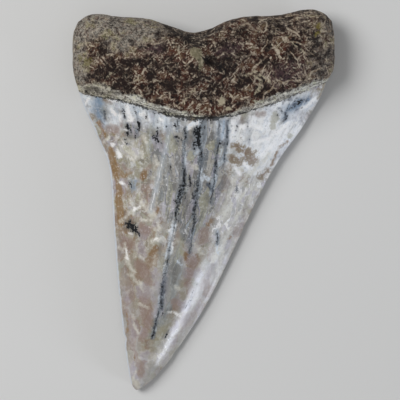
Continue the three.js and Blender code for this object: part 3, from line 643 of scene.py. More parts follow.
def finish_measures(points, m):
    """What the finish reads at each vertex, besides its place: distances in millimetres to the neck,
    the rim and the cracks, how thick the tan border and the dark seam at the neck are there, how
    dusty it is, its place in the flow, and how deep inside each kind of zone and mark it lies. Marks
    and cracks wander by noise."""
    x, y, lingual = m["x"], m["y"], m["lingual"] > 0.5
    flat = np.stack([x, y, np.zeros_like(x)], axis=1)
    wander_x = x + MARK_WANDER * layered(flat, 1.3, 11, 3)
    wander_y = y + MARK_WANDER * layered(flat, 1.3, 21, 3)
    tight_x = x + LINGUAL_WANDER * layered(flat, 0.9, 31, 3)
    lingual_crack = nearest_line(tight_x, y, LINGUAL_CRACKS)
    loose_x = x + LABIAL_WANDER * layered(flat, 4.0, 35, 3)
    labial_crack = nearest_line(loose_x, y, LABIAL_CRACKS)
    border = 1.2 + 1.2 * hump(x, -15.8, 2.4) + 0.4 * hump(x, 12.0, 5.0) - 0.95 * hump(x, 3.5, 4.5)
    seam = 0.16 * ease(-16.0, -14.0, x) * ease(-7.0, -9.0, x) + 0.36 * hump(x, -0.8, 5.0)
    flow = (FLOW_HALF_WIDTH * m["side"], FLOW_PRESS * m["from_neck"], FLOW_APART * m["lingual"])
    found = {
        "neck": m["from_neck"],
        "rim": (1 - np.abs(m["side"])) * m["half_width"],
        "dust": dust_at(points, m),
        "border": border + 0.4 * noise(flat, 1.6, 55),
        "seam": seam,
        "crack": np.where(lingual, lingual_crack, labial_crack),
        "scar": np.where(lingual, to_line(tight_x, y, SCAR), FAR),
        # Where the middle of the root's base is painted darker: shade where it slopes away by the
        # notch, and dark dust.
        "notch_shade_and_dust": hump(x, -1.5, 5.0) * ease(6.0, 1.5, m["from_base"]),
        "flow": np.stack(flow, axis=1),
    }
    for kind, ellipses in ZONES.items():
        found[kind] = inside_ellipses(x, y, ellipses)
    for kind, strokes in MARKS.items():
        found[kind] = np.where(lingual, inside_strokes(wander_x, wander_y, strokes), -FAR)
    return found


def relief(points, m, found, form):
    """How far the fine surface is carved in below the plain form: wear, bone grain and pits on the
    root, faint ripples on the enamel, and grooves where it has cracked. The crown keeps its rim."""
    off_neck = ease(0, -1.2, m["from_neck"])
    grain = 0.5 + 0.35 * layered(points, 0.9, 61, 3)
    folds = np.abs(layered(points, 1.3, 71, 3))
    pores = ease(0.25, 0.75, noise(points, 0.75, 81))
    bone = form.grain_depth * (0.45 * grain + 0.5 * folds + 0.6 * pores)
    bone += HOLLOW_DEPTH * ease(-0.2, 0.8, found["hollow"])
    bone += form.wear_depth * ease(-0.2, 1.0, layered(points, 2.4, 101, 3)) * off_neck
    ripples = form.ripple_depth * (0.5 + 0.5 * layered(points, 1.6, 91, 3))
    groove = form.crack_depth * hump(found["crack"], 0, 0.16)
    enamel = ripples + groove * ease(0.2, 1.0, m["from_neck"]) * (0.5 + 0.5 * noise(points, 2.0, 95))
    enamel *= ease(0, 1.0, found["rim"]) * ease(0, 1.0, m["to_tip"])
    at_rim = np.minimum(ease(0, 1.0, found["rim"]), ease(0, 0.8, m["from_base"]))
    bone *= mix(at_rim, 0.5 + 0.5 * at_rim, off_neck)
    return mix(bone, enamel, ease(-0.12, 0.12, m["from_neck"]))


def tooth_surface(form):
    """The whole fine surface, in millimetres: points, quads, seam faces, and its finish measures.
    The plain form is stretched to the solid's box, and the relief only takes away from it."""
    quads, seam, m = joined_sheets()
    points = np.stack([m["x"], m["y"], m["z"]], axis=1)
    low, high = points.min(axis=0), points.max(axis=0)
    points = LOW + (points - low) * (HIGH - LOW) / (high - low)
    found = finish_measures(points, m)
    found["facing"] = unit_normals(points, quads)
    points -= found["facing"] * relief(points, m, found, form)[:, None]
    for place, depth, half_length, side in NICKS:
        bite = depth * hump(points[:, 1], place, half_length) * ease(0.9, 0, found["rim"])
        points[:, 0] -= side * bite * (m["side"] * side > 0)
    return np.clip(points, LOW, HIGH), quads, seam, found


def mesh_of(name, points, quads, seam, found):
    """A mesh from arrays, with the measures as attributes, of numbers or of vectors."""
    mesh = bpy.data.meshes.new(name)
    corners = np.concatenate([quads.ravel(), seam.ravel()]).astype(np.int32)
    sizes = np.concatenate([np.full(len(quads), 4), np.full(len(seam), 5)]).astype(np.int32)
    mesh.vertices.add(len(points))
    mesh.vertices.foreach_set("co", (points * MM).astype(np.float32).ravel())
    mesh.loops.add(len(corners))
    mesh.loops.foreach_set("vertex_index", corners)
    mesh.polygons.add(len(sizes))
    mesh.polygons.foreach_set("loop_start", (np.cumsum(sizes) - sizes).astype(np.int32))
    mesh.update(calc_edges=True)
    for key, values in found.items():
        kind, field = ("FLOAT", "value") if values.ndim == 1 else ("FLOAT_VECTOR", "vector")
        attribute = mesh.attributes.new(key, kind, "POINT")
        attribute.data.foreach_set(field, values.astype(np.float32).ravel())
    mesh.shade_smooth()
    mesh.validate()
    return mesh


# ---------------------------------------------------------------- shader maths

def both_ways(operation):
    """The plain and the reflected method for one arithmetic sign."""
    return (
        lambda a, b: a.board.math(operation, a, b),
        lambda a, b: a.board.math(operation, b, a),
    )


class Wire:
    """A node's output. Arithmetic on it adds Math nodes, which work on single numbers."""

    def __init__(self, board, socket):
        self.board, self.socket = board, socket

    __add__, __radd__ = both_ways("ADD")
    __sub__, __rsub__ = both_ways("SUBTRACT")
    __mul__, __rmul__ = both_ways("MULTIPLY")
    __truediv__, __rtruediv__ = both_ways("DIVIDE")


class Board:
    """The nodes of one material."""

    def __init__(self, name):
        self.material = bpy.data.materials.new(name)
        self.material.use_nodes = True
        self.tree = self.material.node_tree
        self.tree.nodes.clear()

    def node(self, kind, settings, inputs, output=0):
        """Adds a node: its settings first, then a value or a wire for each socket."""
        made = self.tree.nodes.new(kind)
        for key, value in settings.items():
            setattr(made, key, value)
        for key, value in inputs.items():
            if isinstance(value, Wire):
                self.tree.links.new(value.socket, made.inputs[key])
            else:
                made.inputs[key].default_value = value
        return Wire(self, made.outputs[output]) if made.outputs else None

    def math(self, operation, *values):
        return self.node("ShaderNodeMath", {"operation": operation}, dict(enumerate(values)))

    def vector(self, operation, a, b, output=0):
        return self.node("ShaderNodeVectorMath", {"operation": operation}, {0: a, 1: b}, output)

    def scaled(self, vector, by):
        settings = {"operation": "SCALE"}
        return self.node("ShaderNodeVectorMath", settings, {0: vector, "Scale": by})

    def blend(self, share, a, b, kind="MIX"):
        """Colour b over colour a. A Mix node's colours are its inputs 6 and 7 and its output 2."""
        settings = {"data_type": "RGBA", "blend_type": kind, "clamp_factor": True}
        return self.node("ShaderNodeMix", settings, {0: share, 6: a, 7: b}, 2)

    def step(self, value, start, end):
        """0 up to start, 1 from end on, whichever way round they lie, and a smooth S between."""
        inputs = {"Value": value, "From Min": start, "From Max": end}
        return self.node("ShaderNodeMapRange", {"interpolation_type": "SMOOTHSTEP"}, inputs)

    def most(self, a, b):
        return self.math("MAXIMUM", a, b)

    def least(self, a, b):
        return self.math("MINIMUM", a, b)

    def pick(self, chance, colours):
        """One of the colours, in even shares of a random number from 0 to 1."""
        picked = colours[0]
        for n, colour in enumerate(colours[1:], 1):
            edge = n / len(colours)
            picked = self.blend(self.step(chance, edge - 0.03, edge + 0.03), picked, colour)
        return picked

    def measure(self, name, output="Fac"):
        """One of the mesh's own measures: a number, or a vector where the output is Vector."""
        return self.node("ShaderNodeAttribute", {"attribute_name": name}, {}, output)

    def along_x(self, vector):
        return self.node("ShaderNodeSeparateXYZ", {}, {"Vector": vector}, "X")

    def cells(self, place, size, output, feature="F1", **more):
        """A random foam whose cells are about this many millimetres across."""
        inputs = {"Vector": place, "Scale": 1 / size, **more}
        return self.node("ShaderNodeTexVoronoi", {"feature": feature}, inputs, output)

    def grain(self, place, size, detail, roughness=0.55, output="Fac"):
        """Noise from 0 to 1 whose features are about this many millimetres across."""
        inputs = {"Vector": place, "Scale": 1 / size, "Detail": detail, "Roughness": roughness}
        return self.node("ShaderNodeTexNoise", {}, inputs, output)

    def ragged(self, place, size, detail=3.0, roughness=0.6):
        """The same noise stretched to run from about -1 to 1."""
        return (self.grain(place, size, detail, roughness) - 0.5) * 4.0

    def warped(self, place, size, reach):
        """The place moved about by up to some of this reach, smoothly over this size."""
        drift = self.grain(place, size, 2.0, output="Color")
        push = self.scaled(self.vector("SUBTRACT", drift, (0.5, 0.5, 0.5)), 4 * reach)
        return self.vector("ADD", place, push)


class Paint:
    """A colour that is built up on a board, layer over layer."""

    def __init__(self, board, share, under, over):
        self.board, self.colour = board, board.blend(share, under, over)

    def over(self, share, colour, kind="MIX"):
        """A layer, as thick as its share."""
        self.colour = self.board.blend(share, self.colour, colour, kind)

    def wash(self, where, value, start, end, strength, colour):
        """A layer inside a zone, growing as the value goes from start to end."""
        self.over(where * self.board.step(value, start, end) * strength, colour)

    def stain(self, name, wander, start, end, strength, colour):
        """A layer on one kind of mark, whose border noise moves about."""
        inside = self.board.measure(name) + wander
        self.over(self.board.step(inside, start, end) * strength, colour)


# ---------------------------------------------------------------- the root's finish

# Four sizes of filled canal: how wide the foam's cells are, how long and wide the rods in them, the
# foam's seed, and the random numbers up to which rods are left out and from which they are whole.
BIG_CANALS = (1.4, 1.2, 0.24, 1, 0.2, 0.8)
MIDDLING_CANALS = (0.8, 0.6, 0.16, 2, 0.1, 0.8)
FINE_CANALS = (0.5, 0.3, 0.14, 3, 0.2, 1.0)
LONG_CANALS = (2.0, 3.0, 0.22, 4, 0.2, 0.6)


def canals(board, facing, place, size, length, width, seed, faint, full):
    """Filled canals of the bone that lie in its surface: each cell of a random foam holds one short
    rod, whose middle line runs through the cell's heart in a random direction along the surface.
    Returns how much of a rod is there: each has a random number, and those up to faint are left out
    and those from full on are whole."""

    def level(vector):
        return board.vector("SUBTRACT", vector, board.vector("PROJECT", vector, facing))

    shifted = board.vector("ADD", place, (seed * 7.3, seed * 3.1, seed * 5.7))
    heart = board.cells(shifted, size, "Position")
    colour = board.cells(shifted, size, "Color")
    offset = level(board.vector("SUBTRACT", shifted, heart))
    aim = level(board.vector("SUBTRACT", colour, (0.5, 0.5, 0.5)))
    aim = board.vector("NORMALIZE", aim, (0, 0, 0))
    along = board.vector("DOT_PRODUCT", offset, aim, "Value")
    held = board.most(board.least(along, length / 2), -length / 2)
    miss = board.vector("SUBTRACT", offset, board.scaled(aim, held))
    distance = board.vector("LENGTH", miss, (0, 0, 0), "Value")
    chance = board.math("FRACT", board.vector("DOT_PRODUCT", colour, (6.3, 11.9, 20.3), "Value"))
    reach = width / 2 * (0.5 + chance)
    return board.step(distance / reach, 1.3, 0.6) * board.step(chance, faint, full)


def bone(board, place, tones):
    """The root: dark bone, redder or plum in places, greyed by dust near the base and the ends, and
    crossed by pale filled canals, with a fibrous tan border above the neck. Returns colour,
    roughness, height. In g are the noises that its layers share, from broad to powdery."""
    g = SimpleNamespace(
        broad=board.ragged(place, 2.2, 4.0),
        patches=board.ragged(place, 1.1, 4.0, 0.65),
        mottle=board.ragged(place, 0.6, 4.0, 0.7),
        silt=board.ragged(place, 0.36, 2.0),
        powder=board.ragged(place, 0.24, 2.0),
        rightward=board.along_x(place),
    )
    paint = Paint(board, board.step(g.broad, -0.3, 0.4), tones.dark, tones.rust)
    g.plum = board.step(board.measure("plum") + 1.2 * g.patches, -0.5, 0.8)
    paint.over(g.plum * 0.65, tones.plum)
    paint.over(board.step(g.mottle + 0.6 * g.silt, 0.1, -0.7) * 0.85, tones.pit)
    dusty = bone_dust(board, paint, g, tones)
    pale = bone_canals(board, paint, place, g, dusty, tones)
    bone_border(board, paint, g, tones)
    bone_marks(board, paint, g, tones)
    return paint.colour, 0.75 + 0.06 * g.silt, 0.7 * pale + 0.3 * g.silt + 0.7 * g.mottle


def bone_dust(board, paint, g, tones):
    """Grey dust, olive and rosy in places, and darker towards the notch in the middle of the base:
    painted shade where the root slopes away there, with dark dust. Returns where it is dusty."""
    grains = 0.9 * g.powder + 0.3 * g.silt + 0.3 * g.mottle + 0.35 * g.patches
    dust = Paint(board, board.step(grains, -1.0, 0.9), tones.dust_dark, tones.dust)
    dust.over(board.step(g.broad, 0.0, 0.6) * 0.9, tones.dust_green, "MULTIPLY")
    dust.over(board.step(g.mottle, 0.1, -0.6) * 0.8, tones.dust_rose, "MULTIPLY")
    settled = board.measure("dust") + 0.35 * g.patches + 0.25 * g.broad + 0.25 * g.mottle
    dusty = board.step(settled, -0.1, 1.1)
    paint.over(dusty * 0.9, dust.colour)
    # Darker by the notch in the middle of the base: painted shade where the root slopes away, and dark
    # dust.
    paint.stain("notch_shade_and_dust", 0.3 * g.broad, 0.3, 1.0, 0.45, tones.pit)
    return dusty


def bone_canals(board, paint, place, g, dusty, tones):
    """Combed and powdery bone under four sizes of filled canal, of which the longest lie on the
    right. Returns where the canals are."""
    facing = board.measure("facing", "Vector")
    curled = board.warped(place, 0.7, 0.12)
    big = canals(board, facing, curled, *BIG_CANALS)
    middling = canals(board, facing, curled, *MIDDLING_CANALS)
    fine = canals(board, facing, curled, *FINE_CANALS)
    long = canals(board, facing, board.warped(place, 1.6, 0.3), *LONG_CANALS)
    crowd = board.step(g.patches + 0.9 * g.broad, -1.1, 0.6)
    pale = board.most(board.most(big, middling), fine * 0.8) * crowd
    pale = board.most(pale, long * board.step(g.rightward, 4.0, 9.0))

    combed = board.ragged(board.vector("MULTIPLY", place, (2.4, 0.7, 1.0)), 0.6)
    paint.over(board.step(combed + 0.5 * g.patches, 0.4, 1.0) * 0.6, tones.fleck_dim)
    loose = board.step(g.powder + 0.5 * g.silt + 0.5 * g.patches, 0.4, 1.3)
    paint.over(loose * (0.5 + 0.2 * g.plum), tones.fleck_dim)
    bright = board.step(g.silt + 0.7 * g.broad, -0.8, 0.6)
    paint.over(pale * (0.85 - 0.4 * dusty), board.blend(bright, tones.fleck_dim, tones.fleck))
    return pale


def bone_border(board, paint, g, tones):
    """The tan border above the neck, of fibres that run along it. Its middle is broken to lumps."""
    combing = board.vector("MULTIPLY", board.measure("flow", "Vector"), (0.3, 7.0, 1.0))
    fibrous = board.ragged(combing, 0.42, 4.0, 0.65)
    inside = board.measure("border") + board.measure("neck") + 0.45 * g.patches + 0.2 * g.mottle
    border = board.step(inside, -0.2, 0.35) * board.step(g.mottle + 0.6 * g.patches, -1.0, 0.1)
    middle = board.step(board.measure("seam"), 0.18, 0.34)
    border *= 1 - middle * board.step(g.mottle + 0.8 * g.patches, 0.3, -0.5) * 0.9
    pale = board.step(fibrous + 0.6 * g.powder, -0.6, 0.6)
    fibres = Paint(board, pale, tones.border_dark, tones.border)
    fibres.over(board.step(g.patches, 0.0, 0.5) * 0.4, tones.dust_green, "MULTIPLY")
    fibres.over(board.step(g.rightward, -10.0, -16.0) * 0.5, tones.fleck, "MULTIPLY")
    paint.over(border * 0.95, fibres.colour)


def bone_marks(board, paint, g, tones):
    """The listed marks, and the broken dark seam along the neck."""
    loose = g.mottle + g.silt
    knob = board.blend(board.step(loose, -0.6, 1.2) * 0.4, tones.khaki, tones.chalk)
    for name, wander, strength, colour in (
        # The hollows, also carved in, are painted near-black: partly dark spills, partly painted shade.
        ("hollow", 0.4, 0.8, tones.pit),
        ("khaki", 0.2, 0.9, knob),
        ("chalk", 0.16, 0.8, tones.chalk),
        ("ochre", 0.3, 0.6, tones.ochre),
        ("moss", 0.3, 0.5, tones.moss),
    ):
        paint.stain(name, wander * loose, -0.1, 0.14, strength, colour)
    inside = board.measure("seam") + board.measure("neck") + 0.6 * g.mottle + 0.35 * g.silt
    seam = board.step(inside, -0.04, 0.1) * board.step(g.mottle + 0.8 * g.patches, -0.9, -0.2)
    paint.over(seam * 0.9, tones.pit)


# ---------------------------------------------------------------- the crown's finish

BROAD_FLAKE, SMALL_FLAKE, TALL_FLAKE = 1.7, 0.8, 1.0  # millimetres across each mosaic's flakes


def flake_frame(board, place, seed):
    """The place moved away, so that each mosaic of flakes is another one."""
    return board.vector("ADD", place, (seed * 9.1, seed * 4.7, seed * 2.3))


def flakes(board, place, size, seed, smoothness):
    """A mosaic of angular cells: a random number for each cell."""
    shifted = flake_frame(board, place, seed)
    colour = board.cells(shifted, size, "Color", "SMOOTH_F1", Smoothness=smoothness)
    return board.vector("DOT_PRODUCT", colour, (1.0, 0.0, 0.0), "Value")


def enamel(board, place, tones):
    """The crown, from the ground up: zones, of which a few paint the side light's highlight on the
    lower right flank, flakes, pale clouds, stains, cracks, soot, then the pale left cutting edge, which
    is partly a painted highlight. Returns colour, roughness, height. In g are the noises that its
    layers share, of which stripe and thread run down the crown, and how busy it is, most of all near
    the root. In zone are its zones of colour."""
    flow = board.measure("flow", "Vector")
    g = SimpleNamespace(
        busy=board.step(board.measure("neck"), 28.0, 14.0),
        soft=board.ragged(place, 2.4, 4.0),
        middling=board.ragged(place, 0.9, 4.0),
        fine=board.ragged(place, 0.42, 3.0, 0.65),
        grit=board.ragged(place, 0.3, 2.0),
        stripe=board.ragged(flow, 0.8, 4.0),
        thread=board.ragged(flow, 0.36),
        sideways=board.along_x(flow),
    )
    names = ("cool", "dark", "warm", "olive", "mauve", "bright", "azure")
    blur = 0.6 * g.soft + 0.45 * g.middling
    zone = SimpleNamespace(
        **{name: board.step(board.measure(name) + blur, -0.8, 0.8) for name in names},
        pale=board.step(board.measure("pale") + 0.8 * g.soft + 0.5 * g.middling, -1.8, 1.6),
    )
    paint = Paint(board, board.step(g.soft, -0.6, 0.6), tones.stone, tones.sand)
    enamel_zones(paint, g, zone, tones)
    chance = enamel_flakes(board, paint, place, flow, g, zone, tones)
    enamel_clouds(board, paint, chance, g, zone, tones)
    enamel_stains(board, paint, g, tones)
    crack = enamel_cracks(board, paint, g, tones)
    black = board.most(enamel_soot(board, paint, g, tones), crack)
    # The left cutting edge is painted paler: partly its thin pale enamel, partly a painted highlight.
    pale_rim_and_highlight = board.step(board.measure("rim") + 0.1 * g.middling, 0.4, 0.15)
    paint.wash(pale_rim_and_highlight, g.sideways, 2.0, -2.0, 0.8, tones.rim)
    height = (0.1 + 0.15 * g.busy) * g.fine + 0.1 * g.soft - 0.6 * black
    return paint.colour, 0.3 + 0.2 * g.busy + 0.05 * g.fine + 0.3 * black, height


def enamel_zones(paint, g, zone, tones):
    """Broad zones of colour on grey-beige enamel. A few bright, lilac and cool ellipses along the lower
    right flank are a painted highlight and its tint.
    """
    paint.over(zone.warm * 0.9, tones.warm)
    paint.over(zone.warm * g.busy * 0.5, tones.ochre)
    paint.over(zone.olive * 0.7, tones.olive)
    paint.over(zone.cool * 0.6, tones.cool)
    paint.over(zone.dark * 0.5, tones.dark)
    paint.over(zone.mauve * 0.6, tones.lilac)
    paint.over(zone.bright * 0.9, tones.chalk)
    paint.wash(zone.bright, g.thread, 0.1, 0.6, 0.4, tones.white)
    paint.wash(zone.bright, g.middling + 0.6 * g.fine, 0.2, 1.0, 0.6, tones.white)
    paint.wash(zone.bright, g.middling + 0.6 * g.stripe, -0.3, -1.0, 0.55, tones.warm)


def enamel_flakes(board, paint, place, flow, g, zone, tones):
    """Mosaics of translucent flakes: squat and veined on the plain enamel, small in the bright zones,
    and tall and streaked in the cool and dark ones. Returns the tall ones' random numbers."""
    plain = 1 - board.most(board.most(zone.pale, zone.cool) * 0.85, zone.bright * 0.6)
    squat = board.vector("MULTIPLY", board.warped(place, 1.0, 0.3), (1.0, 0.7, 1.0))
    chance = flakes(board, squat, BROAD_FLAKE, 1, 0.5)
    tint = board.pick(chance, (tones.rose, tones.ochre, tones.moss, tones.sand, tones.lilac))
    tint = board.blend(zone.olive * 0.7, tint, tones.moss)
    paint.over(plain * (0.35 + 0.15 * g.busy), tint)

    chance = flakes(board, squat, SMALL_FLAKE, 2, 0.3)
    tints = (tones.lilac, tones.cream, tones.rose, tones.moss, tones.pale, tones.shade)
    small = plain * (0.15 + 0.3 * g.busy) * board.step(g.middling, -0.6, 0.3)
    paint.over(small, board.pick(chance, tints))
    tint = board.pick(chance, (tones.cream, tones.sand, tones.white, tones.lilac, tones.stone))
    paint.over(zone.bright * 0.65 * board.step(g.middling, -1.0, 0.2), tint)
    broad = flake_frame(board, squat, 1)
    border = board.cells(broad, BROAD_FLAKE, "Distance", "DISTANCE_TO_EDGE") * BROAD_FLAKE
    veined = board.step(border + 0.12 * g.fine, 0.28, 0.05) * board.step(g.soft + g.middling, 0.0, 0.6)
    paint.over(veined * plain * (0.22 + 0.2 * g.busy), tones.cream)

    streaky = board.most(zone.cool, zone.dark) * (0.3 + 0.7 * g.busy)
    tall = board.warped(board.vector("MULTIPLY", flow, (1.0, 2.4, 1.0)), 1.0, 0.25)
    chance = flakes(board, tall, TALL_FLAKE, 3, 0.3)
    tints = (tones.ice, tones.shade, tones.moss, tones.lilac, tones.dark, tones.sand)
    paint.over(streaky * 0.65, board.pick(chance, tints))
    paint.wash(streaky, g.stripe + 0.3 * g.fine, 0.2, 0.8, 0.5, tones.ice)
    paint.wash(streaky, g.stripe + 0.3 * g.fine, -0.1, -0.8, 0.5, tones.dark)
    return chance


def enamel_clouds(board, paint, chance, g, zone, tones):
    """Clouds in the pale zones, bluer and more lilac in the west, on the left. Then light and dark
    threads and patches all over, and the blue zones."""
    clouds = board.pick(chance, (tones.white, tones.pale, tones.white, tones.cream))
    west = board.step(g.sideways, 1.0, -4.0)
    pale = zone.pale
    paint.over(pale * 0.9, tones.pale)
    paint.wash(pale, g.soft + g.middling, -0.7, 0.1, 0.4, clouds)
    paint.wash(pale, g.soft + 0.5 * g.middling, -0.5, 0.5, 0.6, tones.white)
    paint.over(pale * west * 0.6, tones.frost)
    paint.wash(pale, g.stripe + 0.4 * g.middling, 0.0, -0.9, 0.3 + 0.5 * west, tones.azure)
    paint.wash(pale, g.soft + 0.6 * g.stripe, -0.1, -0.8, 0.3 + 0.3 * west, tones.lilac)
    paint.wash(pale, g.grit + 0.8 * g.thread, 0.8, 1.1, 0.75, tones.shade)
    patchy = g.middling + 0.5 * g.soft
    paint.wash(g.busy, patchy, 0.2, 1.0, 0.25, tones.pale)
    paint.wash(g.busy, patchy, -0.2, -1.0, 0.25, tones.shade)
    paint.wash(g.busy, g.thread, 0.2, 0.7, 0.22, tones.pale)
    paint.wash(g.busy, g.thread, -0.2, -0.8, 0.25, tones.shade)
    paint.wash(zone.azure, g.thread + 0.5 * g.stripe, -1.4, 0.4, 0.9, tones.azure)


def enamel_stains(board, paint, g, tones):
    """The listed stains, with broken borders, and sparse light and dark specks near the root."""
    loose = g.middling + g.fine
    sandy = board.step(g.thread + 0.5 * g.stripe, -0.8, 0.8) * 0.2
    tawny = Paint(board, sandy, tones.ochre, tones.sand)
    tawny.over(board.step(g.sideways, -12.0, -9.0) * 0.6, tones.umber)
    earth = Paint(board, board.step(loose, -0.4, 0.6) * 0.45, tones.umber, tones.olive)
    earth.over(board.step(g.fine + 0.6 * g.grit, 0.2, 1.3) * 0.55, tones.sand)
    earth.over(board.step(g.middling + 0.5 * g.grit, -0.1, -1.2) * 0.7, tones.rose)
    for name, wander, blur, strength, colour in (
        ("rose", 0.3, 0.25, 0.65, tones.rose),
        ("moss", 0.25, 0.15, 0.7, tones.moss),
        ("ochre", 0.25, 0.2, 0.9, tawny.colour),
        ("umber", 0.8, 0.4, 0.92, earth.colour),
        ("shadow", 0.35, 0.35, 0.6, tones.shade),
        ("cream", 0.16, 0.3, 0.7, tones.cream),
        ("white", 0.1, 0.22, 0.85, tones.white),
    ):
        paint.stain(name, wander * loose, -blur, blur, strength, colour)
    grain = 0.12 + 0.22 * g.busy
    paint.over(board.step(g.fine, -0.1, -1.0) * grain, tones.shade)
    paint.over(board.step(g.fine, 0.1, 1.0) * grain, tones.white)
    paint.wash(g.busy, g.grit + 0.3 * g.middling, 0.75, 1.0, 0.7, tones.white)
    paint.wash(g.busy, g.grit + 0.3 * g.middling, -0.75, -1.0, 0.7, tones.shade)


def enamel_cracks(board, paint, g, tones):
    """Open cracks in a cool halo with frosty glints, frosty and navy marks, and the healed crack.
    Returns where the open cracks are black."""
    crack, scar = board.measure("crack"), board.measure("scar")
    below = board.step(board.measure("neck"), 0.05, 0.4)
    halo = board.step(crack + 0.35 * g.middling + 0.25 * g.fine, 0.55, 0.0) * below
    paint.over(halo * 0.65, tones.slate)
    frost = board.step(board.measure("frost") + 0.2 * (g.middling + g.fine + g.thread), -0.25, 0.3)
    paint.wash(frost, g.thread + g.fine, -1.2, 0.6, 0.8, tones.frost)
    paint.stain("navy", 0.25 * (g.middling + g.fine), -0.2, 0.2, 0.8, tones.navy)
    paint.over(board.step(scar + 0.3 * g.middling, 0.7, 0.1) * 0.5, tones.ice)
    filled = board.step(scar + 0.04 * g.grit, 0.13, 0.04)
    paint.wash(filled, g.thread + g.grit, -0.5, 0.3, 0.75, tones.white)
    near = board.step(crack + 0.3 * g.fine, 0.55, 0.2) * below
    paint.wash(near, g.thread + g.grit, 0.3, 0.8, 0.7, tones.frost)
    patchy = board.step(0.7 * g.thread + g.middling + g.fine, -0.6, 0.5)
    gap = board.step(crack + 0.1 * g.fine + 0.08 * g.middling, 0.17, 0.05) * patchy * below
    paint.over(gap * 0.9, tones.soot)
    return gap


def enamel_soot(board, paint, g, tones):
    """Soot-black specks in smears, in the dark zones and beside the cracks, and the lower half of the
    seam at the neck. Returns where it is black."""
    soot = board.measure("soot")
    paint.over(board.step(soot + 0.4 * g.thread + 0.3 * g.fine, -0.6, 0.4) * 0.5, tones.dark)
    black = board.step(soot + 0.3 * g.fine + 0.35 * g.grit + 0.3 * g.thread, 0.06, 0.28)
    dark = board.step(board.measure("dark") + 0.5 * g.soft, -0.6, 0.8)
    near = board.step(board.measure("crack"), 0.75, 0.1)
    specks = 0.6 * g.fine + 0.4 * g.grit + 0.7 * g.thread + 0.4 * g.stripe
    pepper = board.step(specks + 0.8 * dark + 0.7 * near, 1.25, 1.65)
    ragged = 0.35 * g.fine + 0.2 * g.grit + 0.2 * g.middling
    seam = board.step(board.measure("seam") - board.measure("neck") + ragged, -0.05, 0.12)
    seam *= board.step(g.stripe + g.middling, -1.0, -0.2)
    black = board.most(board.most(black, pepper * 0.8), seam * 0.85)
    paint.over(black, tones.soot)
    return black


def fossil_material(bone_tones, enamel_tones):
    """Bone above the neck and enamel below it, with a slightly ragged line between. The cutting edges
    are duller, and the tip glossier."""
    board = Board("fossil_tooth")
    metres = board.node("ShaderNodeTexCoord", {}, {}, "Object")
    place = board.scaled(metres, 1 / MM)
    bone_colour, bone_rough, bone_height = bone(board, place, bone_tones)
    enamel_colour, enamel_rough, enamel_height = enamel(board, place, enamel_tones)
    neck = board.measure("neck")
    ragged = 0.2 * board.ragged(place, 1.0) + 0.08 * board.ragged(place, 0.36)
    crown = board.step(neck + ragged, -0.05, 0.05)
    height = bone_height + (enamel_height - bone_height) * crown
    inwards = board.step(board.measure("rim"), 0.1, 0.9)
    surface = {
        "Base Color": board.blend(crown, bone_colour, enamel_colour),
        "Roughness": bone_rough + (enamel_rough - bone_rough) * crown,
        "Normal": board.node(
            "ShaderNodeBump", {}, {"Strength": 0.7, "Distance": 0.12 * MM, "Height": height}, "Normal"
        ),
        "Coat Weight": crown * inwards * (0.12 + 0.5 * board.step(neck, 20.0, 28.0)),
        "Coat Roughness": 0.25,
        "Specular IOR Level": 0.25,
        "Subsurface Weight": 0.08,
        "Subsurface Radius": (1.0, 0.8, 0.6),
        "Subsurface Scale": 0.8 * MM,
        "IOR": 1.5,
    }
    shader = board.node("ShaderNodeBsdfPrincipled", {}, surface)
    board.node("ShaderNodeOutputMaterial", {}, {"Surface": shader})
    return board.material


def plain_material(name, colour, roughness):
    board = Board(name)
    inputs = {"Base Color": (*colour, 1.0), "Roughness": roughness}
    shader = board.node("ShaderNodeBsdfPrincipled", {}, inputs)
    board.node("ShaderNodeOutputMaterial", {}, {"Surface": shader})
    return board.material


# ---------------------------------------------------------------- settings

# Each light's diameter, its place in metres, and its colour. Both shine at the tooth.
KEY_LIGHT = (0.30, (-0.28, 0.14, 0.38), (1.0, 1.0, 1.0))
SIDE_LIGHT = (0.14, (0.372, -0.241, 0.066), (0.84, 0.9, 1.0))
SKY_COLOUR = (1.0, 1.0, 1.0, 1.0)
FLOOR_REACH = 20  # half the floor's width, in lengths of the tooth
FLOOR_ROUGHNESS = 0.9
VIEW_SHIFT = -0.0133  # the camera's place along X, as a share of the tooth's width
VIEW_LEVEL = 0.25  # the camera's distance is measured from here, as a share of the thickness


def tone(label, code):
    """A colour property whose default is a six-digit screen colour."""
    screen = np.array([int(code[i : i + 2], 16) for i in (0, 2, 4)]) / 255
    linear = np.where(screen <= 0.04045, screen / 12.92, ((screen + 0.055) / 1.055) ** 2.4)
    return FloatVectorProperty(
        name=label,
        description=f"Colour of the {label.lower()}",
        size=4,
        subtype="COLOR",
        min=0.0,
        max=1.0,
        default=(*linear.tolist(), 1.0),
    )


class ToothForm(bpy.types.PropertyGroup):
    """Depths of the fine relief, in millimetres."""

    grain_depth: FloatProperty(
        name="Bone grain", description="Depth of the root's grain and pores, in mm", default=0.16
    )
    wear_depth: FloatProperty(
        name="Root wear", description="Depth of the root's broader wear, in mm", default=0.24
    )
    ripple_depth: FloatProperty(
        name="Enamel ripples", description="Depth of the crown's ripples, in mm", default=0.04
    )
    crack_depth: FloatProperty(
        name="Cracks", description="Depth of the grooves along the crown's cracks, in mm", default=0.1
    )


